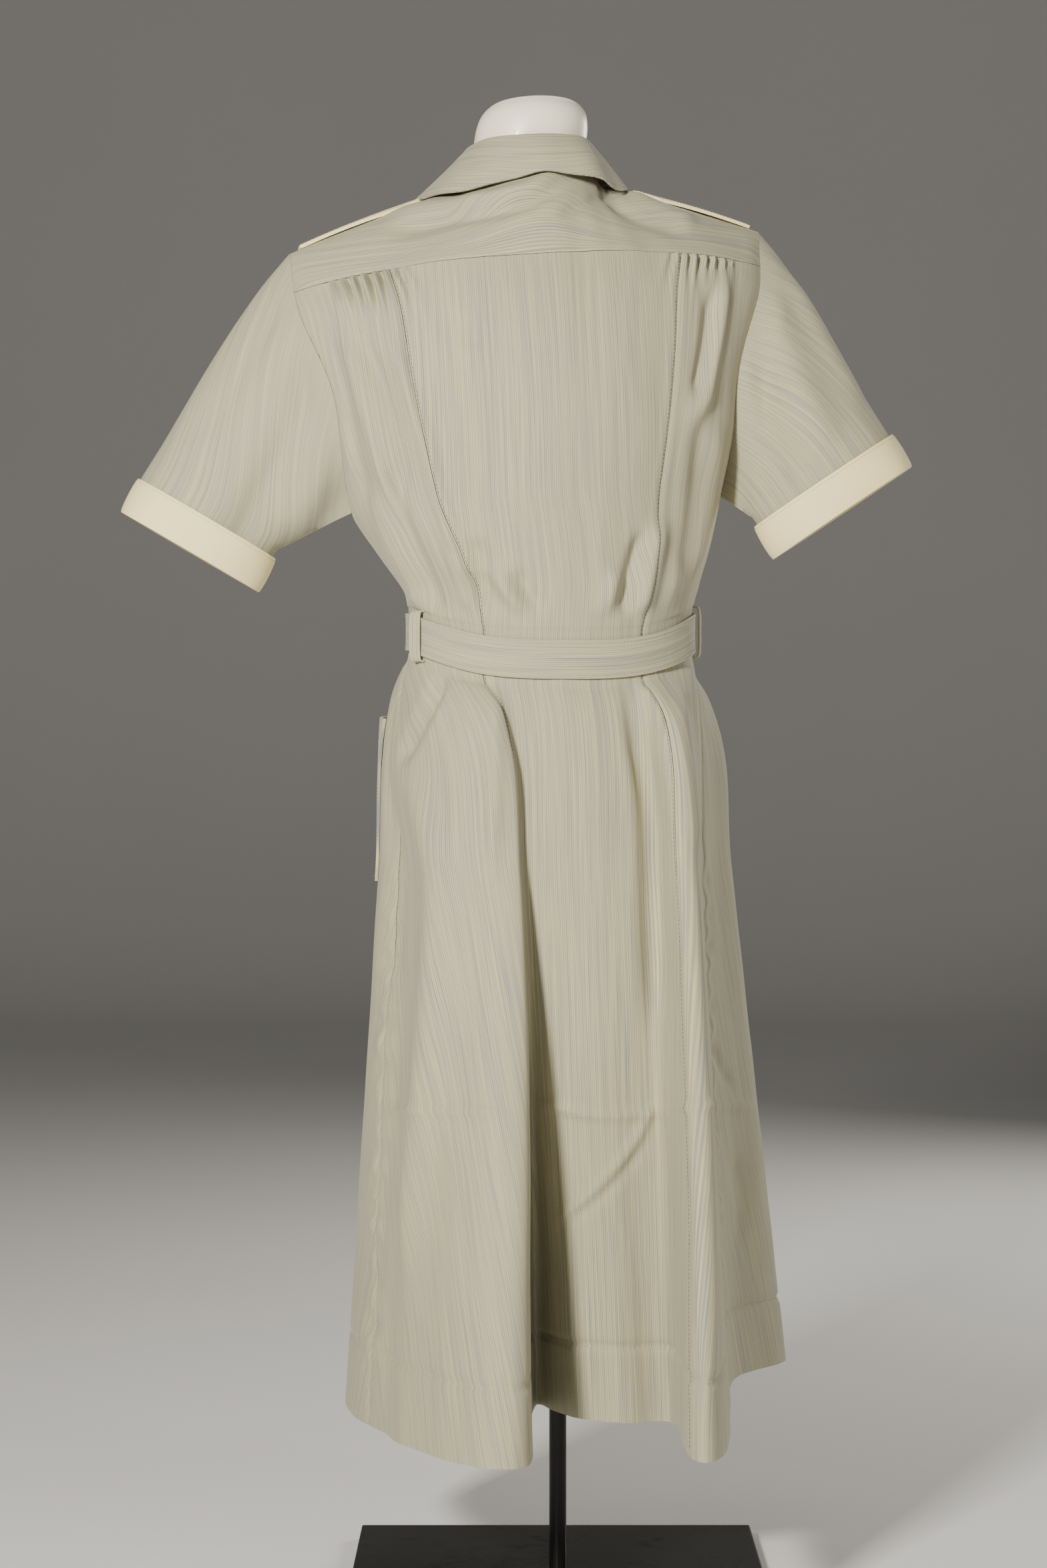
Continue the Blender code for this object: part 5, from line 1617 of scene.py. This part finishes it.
def button_facing(node):
    """Which way a CAD button looks: the mean normal of its outer faces."""
    low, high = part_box(node)
    centre = (low + high) / 2
    total = mathutils.Vector((0, 0, 0))
    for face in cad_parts[node].data.polygons:
        if (face.center - centre).dot(face.normal) > 0 and face.normal.y < -0.7:
            total += face.normal * face.area
    return total.normalized()


def form_object():
    """Limbless torso with its neck block, one smooth closed body."""
    turn = np.linspace(0, 2 * math.pi, 96, endpoint=False)
    rings = []
    for place in np.linspace(0, len(FORM_ROWS) - 1, 5 * (len(FORM_ROWS) - 1) + 1):
        z, width, depth, middle, square = spline(range(len(FORM_ROWS)), FORM_ROWS, [place])[0]
        x, y = (size * np.sign(part) * np.abs(part) ** (2 / square)
                for size, part in ((width, np.cos(turn)), (depth, np.sin(turn))))
        rings.append(lean(np.stack([x, middle + y, np.full_like(x, z)], axis=-1)))
    count, sides = len(rings), len(turn)
    faces = tube_faces(count, sides)
    faces += [list(range(sides))[::-1], list(range((count - 1) * sides, count * sides))]
    mesh = bpy.data.meshes.new("form_body")
    mesh.from_pydata(np.concatenate(rings).tolist(), [], faces)
    plug = (*PLUG_PLACE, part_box("form_torso")[1].z - PLUG_DROP)
    FINISH_MAKERS["form_cover"] = lambda: form_cover(plug)
    return add_object("form_body", smoothed(mesh, 60), "form_cover")


def raised(piece, rows, columns, lift=0.0002):
    """Path over a piece's outer side through fractional rows and columns."""
    grid = piece.outer
    path = []
    for r, c in zip(rows, columns):
        r = min(max(r, 0), grid.shape[0] - 1.001)
        c = min(max(c, 0), grid.shape[1] - 1.001)
        i, j = int(r), int(c)
        f, g = r - i, c - j
        corner = grid[i:i + 2, j:j + 2]
        facing = piece.normals[i:i + 2, j:j + 2]
        weight = np.array([[(1 - f) * (1 - g), (1 - f) * g], [f * (1 - g), f * g]])[..., None]
        path.append((corner * weight).sum((0, 1)) + (facing * weight).sum((0, 1)) * lift)
    return path


def beside(piece, way, line, inset, start, stop):
    """Path over a piece at a distance from its first (0) or last (-1) row or column."""
    away = lengths(piece.outer, 0).T if way == "row" else lengths(piece.outer, 1)
    count, size = away.shape
    steps = range(int(start * (count - 1)), int(stop * (count - 1)) + 1)
    places = [np.interp(inset if line == 0 else away[k, -1] - inset, away[k], range(size))
              for k in steps]
    path = raised(piece, places, steps) if way == "row" else raised(piece, steps, places)
    return path + path[:1] if piece.closed else path


# Stitched lines: kind of stitch, pieces, along which grid way, first or last line of it,
# distance from that line, and the shares of its length where the stitches start and stop
STITCH_LINES = (
    ("princess", "back_center", "column", (0, -1), 0.0016, 0.01, 0.995),
    ("edge", "back_yoke", "row", (-1,), 0.0020, 0.01, 0.99),
    ("hem", "back_side_left back_center back_side_right front_left front_right", "row", (-1,),
     HEM_DEPTH, 0.01, 0.99),
    ("edge", "front_left", "column", (0,), 0.006, 0.01, 0.99),
    ("edge", "front_right", "column", (-1,), 0.006, 0.01, 0.99),
    ("edge", "collar", "row", (-1,), 0.0045, 0.01, 0.99),
    ("edge", "belt", "row", (0, -1), 0.0028, 0.005, 0.995),
    ("edge", "pocket_left pocket_right", "row", (0,), 0.022, 0.02, 0.98),
    ("edge", "pocket_left pocket_right", "row", (-1,), 0.002, 0.02, 0.98),
    ("edge", "pocket_left pocket_right", "column", (0, -1), 0.002, 0.02, 0.98),
    ("cream", "shoulder_strap_left shoulder_strap_right", "row", (0, -1), 0.0030, 0.02, 0.98),
    ("cream", "cuff_left cuff_right", "row", (0,), 0.0028, 0.0, 1.0),
    ("cream", "belt_loop_left belt_loop_right", "column", (0, -1), 0.0012, 0.08, 0.92),
)


def stitch_paths(wanted):
    """Every line of one kind of stitch that the dress shows."""
    return [beside(CLOTH_PIECES[name], way, line, inset, start, stop)
            for kind, names, way, lines, inset, start, stop in STITCH_LINES if kind == wanted
            for name in names.split() for line in lines]


def stitch_tree(material):
    """Geometry Nodes: one short thread after another along a path."""
    tree = bpy.data.node_groups.new("stitch_row", "GeometryNodeTree")
    face = tree.interface
    face.new_socket("Path", in_out="INPUT", socket_type="NodeSocketGeometry")
    for name in ("Stitch", "Gap", "Thickness"):
        face.new_socket(name, in_out="INPUT", socket_type="NodeSocketFloat")
    face.new_socket("Stitches", in_out="OUTPUT", socket_type="NodeSocketGeometry")
    given, result, curve, step, spread, shape, half, along, turn, lay, real, paint = (
        tree.nodes.new(kind) for kind in (
            "NodeGroupInput", "NodeGroupOutput", "GeometryNodeMeshToCurve", "ShaderNodeMath",
            "GeometryNodeResampleCurve", "GeometryNodeMeshCylinder", "ShaderNodeMath",
            "GeometryNodeInputTangent", "FunctionNodeAlignRotationToVector",
            "GeometryNodeInstanceOnPoints", "GeometryNodeRealizeInstances",
            "GeometryNodeSetMaterial"))
    spread.mode = "LENGTH"
    shape.inputs["Vertices"].default_value = 5
    half.operation = "MULTIPLY"
    half.inputs[1].default_value = 0.5
    turn.axis = "Z"
    paint.inputs["Material"].default_value = material
    for source, output, target, slot in (
            (given, "Path", curve, "Mesh"), (given, "Stitch", step, 0),
            (given, "Gap", step, 1), (curve, 0, spread, "Curve"),
            (step, 0, spread, "Length"), (given, "Thickness", half, 0),
            (half, 0, shape, "Radius"), (given, "Stitch", shape, "Depth"),
            (along, 0, turn, "Vector"), (spread, 0, lay, "Points"),
            (shape, "Mesh", lay, "Instance"), (turn, 0, lay, "Rotation"),
            (lay, 0, real, 0), (real, 0, paint, "Geometry"), (paint, 0, result, 0)):
        tree.links.new(source.outputs[output], target.inputs[slot])
    return tree


def stitch_object(row):
    """All the stitches of one kind as one plain mesh."""
    colour, length, gap, thick = STITCH_ROWS[row]
    points, edges = [], []
    for path in stitch_paths(row):
        start = len(points)
        points += [tuple(q) for q in path]
        edges += [(k, k + 1) for k in range(start, len(points) - 1)]
    guide_mesh = bpy.data.meshes.new("stitch_guide")
    guide_mesh.from_pydata(points, edges, [])
    guide = link_new("stitch_guide", guide_mesh)
    modifier = guide.modifiers.new("stitches", "NODES")
    tree = stitch_tree(finish(colour))
    modifier.node_group = tree
    sizes = {"Stitch": length * 0.001, "Gap": gap * 0.001, "Thickness": thick * 0.001}
    for socket in tree.interface.items_tree:
        if socket.in_out == "INPUT" and socket.name in sizes:
            modifier[socket.identifier] = sizes[socket.name]
    deps = bpy.context.evaluated_depsgraph_get()
    mesh = bpy.data.meshes.new_from_object(guide.evaluated_get(deps), depsgraph=deps)
    bpy.data.objects.remove(guide, do_unlink=True)
    mesh.name = f"stitches_{row}"
    mesh.shade_smooth()
    add_object(f"stitches_{row}", mesh, colour)


# Studio paper: where the floor starts and ends, the curve up to the wall, its top and sides
FLOOR_NEAR = 8.0
FLOOR_FAR = -7.0
PAPER_CURVE = 1.5
WALL_TOP = 7.0
PAPER_HALF_WIDTH = 9.0
FLOOR_DROP = 0.0005
LIGHT_COLOUR = (1.0, 0.96, 0.89)
WORLD_COLOUR = (1.0, 0.985, 0.95, 1.0)
WORLD_STRENGTH = 0.09

# Studio lights: name, place, aimed at, width, height, watts
LIGHTS = (
    ("key", (0.95, 2.35, 1.45), (0.0, 0.0, 0.9), 0.3, 0.3, 118.0),
    ("fill", (-2.4, 1.6, 1.3), (0.0, 0.0, 0.65), 0.5, 0.9, 14.0),
    ("top", (0.0, -1.4, 2.7), (0.0, 0.0, 0.9), 1.2, 1.2, 12.0),
    ("front", (-2.2, -2.7, 1.6), (0.0, 0.0, 0.75), 0.6, 0.9, 60.0),
)


def link_new(name, data):
    """New object in the scene."""
    item = bpy.data.objects.new(name, data)
    bpy.context.scene.collection.objects.link(item)
    return item


def make_paper():
    """Pale floor that rises into a wall."""
    profile = [(FLOOR_NEAR, 0.0), (FLOOR_FAR, 0.0)]
    profile += [(FLOOR_FAR - PAPER_CURVE * math.sin(a), PAPER_CURVE * (1 - math.cos(a)))
                for a in np.radians(np.linspace(10, 90, 9))]
    profile += [(FLOOR_FAR - PAPER_CURVE, WALL_TOP)]
    points = [(x, y, z - FLOOR_DROP) for y, z in profile
              for x in (-PAPER_HALF_WIDTH, PAPER_HALF_WIDTH)]
    faces = [(2 * k, 2 * k + 1, 2 * k + 3, 2 * k + 2) for k in range(len(profile) - 1)]
    mesh = bpy.data.meshes.new("studio_paper")
    mesh.from_pydata(points, [], faces)
    mesh.materials.append(finish("studio_paper"))
    mesh.shade_smooth()
    link_new("studio_paper", mesh)


def make_stage():
    """The paper, soft lights and the photograph's camera."""
    make_paper()
    strength = settings().light_strength
    for name, place, target, width, height, watts in LIGHTS:
        light = bpy.data.lights.new(name, "AREA")
        light.shape = "RECTANGLE"
        light.size = width
        light.size_y = height
        light.energy = watts * strength
        light.color = LIGHT_COLOUR
        lamp = link_new(name, light)
        lamp.location = place
        aim = mathutils.Vector(target) - mathutils.Vector(place)
        lamp.rotation_euler = aim.to_track_quat("-Z", "Y").to_euler()
    world = bpy.data.worlds.new("studio")
    world.use_nodes = True
    back = world.node_tree.nodes["Background"]
    back.inputs["Color"].default_value = WORLD_COLOUR
    back.inputs["Strength"].default_value = WORLD_STRENGTH * strength
    bpy.context.scene.world = world
    lens = bpy.data.cameras.new("camera")
    lens.sensor_fit = "VERTICAL"
    lens.sensor_height = 36.0
    lens.lens = FOCAL_PIXELS / IMAGE_SIZE[1] * lens.sensor_height
    lens.clip_end = 50.0
    camera = link_new("camera", lens)
    camera.location = CAMERA_PLACE
    camera.rotation_euler = (math.radians(90), 0.0, math.radians(180))
    bpy.context.scene.camera = camera


class DRESS_OT_cloth(bpy.types.Operator):
    """Makes the body panels, the yoke, the sleeves, the cuffs and the collar"""
    bl_idname = "dress.cloth"
    bl_label = "Body, yoke, sleeves and collar"

    def execute(self, context):
        pieces = back_pieces() + [front_piece(1), front_piece(-1), yoke_piece()]
        place_all(pieces + sleeve_pieces() + [collar_piece()])
        return {"FINISHED"}


class DRESS_OT_trimmings(bpy.types.Operator):
    """Makes the shoulder straps, the belt with its loops and buckle, and the pockets"""
    bl_idname = "dress.trimmings"
    bl_label = "Straps, belt and pockets"

    def execute(self, context):
        place_all([strap_piece(1), strap_piece(-1), belt_piece(), loop_piece(1),
                   loop_piece(-1), pocket_piece(1), pocket_piece(-1)])
        buckle = rounded_copy("belt_buckle", "buckle", 0.0011)
        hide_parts("belt_buckle")
        return {"FINISHED"}


class DRESS_OT_buttons(bpy.types.Operator):
    """Makes the eight front buttons with their rims, thread, and holes drawn as discs of
    painted shade
    """
    bl_idname = "dress.buttons"
    bl_label = "Buttons"

    def execute(self, context):
        for number in range(1, 9):
            node = f"button_{number}"
            button = button_object(node)
            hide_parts(node)
        return {"FINISHED"}


class DRESS_OT_stitches(bpy.types.Operator):
    """Lays the rows of stitches along the seams, edges and hem"""
    bl_idname = "dress.stitches"
    bl_label = "Stitches"

    def execute(self, context):
        for row in STITCH_ROWS:
            stitch_object(row)
        return {"FINISHED"}


class DRESS_OT_form(bpy.types.Operator):
    """Makes the smooth dress form and paints its stand"""
    bl_idname = "dress.form"
    bl_label = "Form and stand"

    def execute(self, context):
        form = form_object()
        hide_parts("form_torso")
        for node in ("stand_base", "stand_pole"):
            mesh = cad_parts[node].data
            mesh.materials.clear()
            mesh.materials.append(finish("dark_steel"))
        return {"FINISHED"}


class DRESS_OT_stage(bpy.types.Operator):
    """Sets the pale floor, the soft lights and the camera of the photograph"""
    bl_idname = "dress.stage"
    bl_label = "Stage"

    def execute(self, context):
        make_stage()
        return {"FINISHED"}


class DRESS_PT_panel(bpy.types.Panel):
    """Lists the dress's settings and steps"""
    bl_idname = "DRESS_PT_panel"
    bl_label = "Nurse uniform dress"
    bl_space_type = "VIEW_3D"
    bl_region_type = "UI"
    bl_category = "Dress"

    def draw(self, context):
        column = self.layout.column()
        for name in DressSettings.__annotations__:
            column.prop(context.scene.dress_settings, name)
        for step in STEPS:
            column.operator(step.bl_idname)


STEPS = (DRESS_OT_cloth, DRESS_OT_trimmings, DRESS_OT_buttons, DRESS_OT_stitches,
         DRESS_OT_form, DRESS_OT_stage)
CLASSES = (DressSettings,) + STEPS + (DRESS_PT_panel,)
CLOTH_PIECES = {}


def register():
    """Register the classes and the scene's settings."""
    for item in CLASSES:
        bpy.utils.register_class(item)
    bpy.types.Scene.dress_settings = bpy.props.PointerProperty(type=DressSettings)


def unregister():
    """Take the classes and the settings away again."""
    del bpy.types.Scene.dress_settings
    for item in reversed(CLASSES):
        bpy.utils.unregister_class(item)


def main():
    """Build the scene in order."""
    register()
    bpy.ops.dress.cloth()
    bpy.ops.dress.trimmings()
    bpy.ops.dress.buttons()
    bpy.ops.dress.stitches()
    bpy.ops.dress.form()
    bpy.ops.dress.stage()


if __name__ == "__main__":
    main()
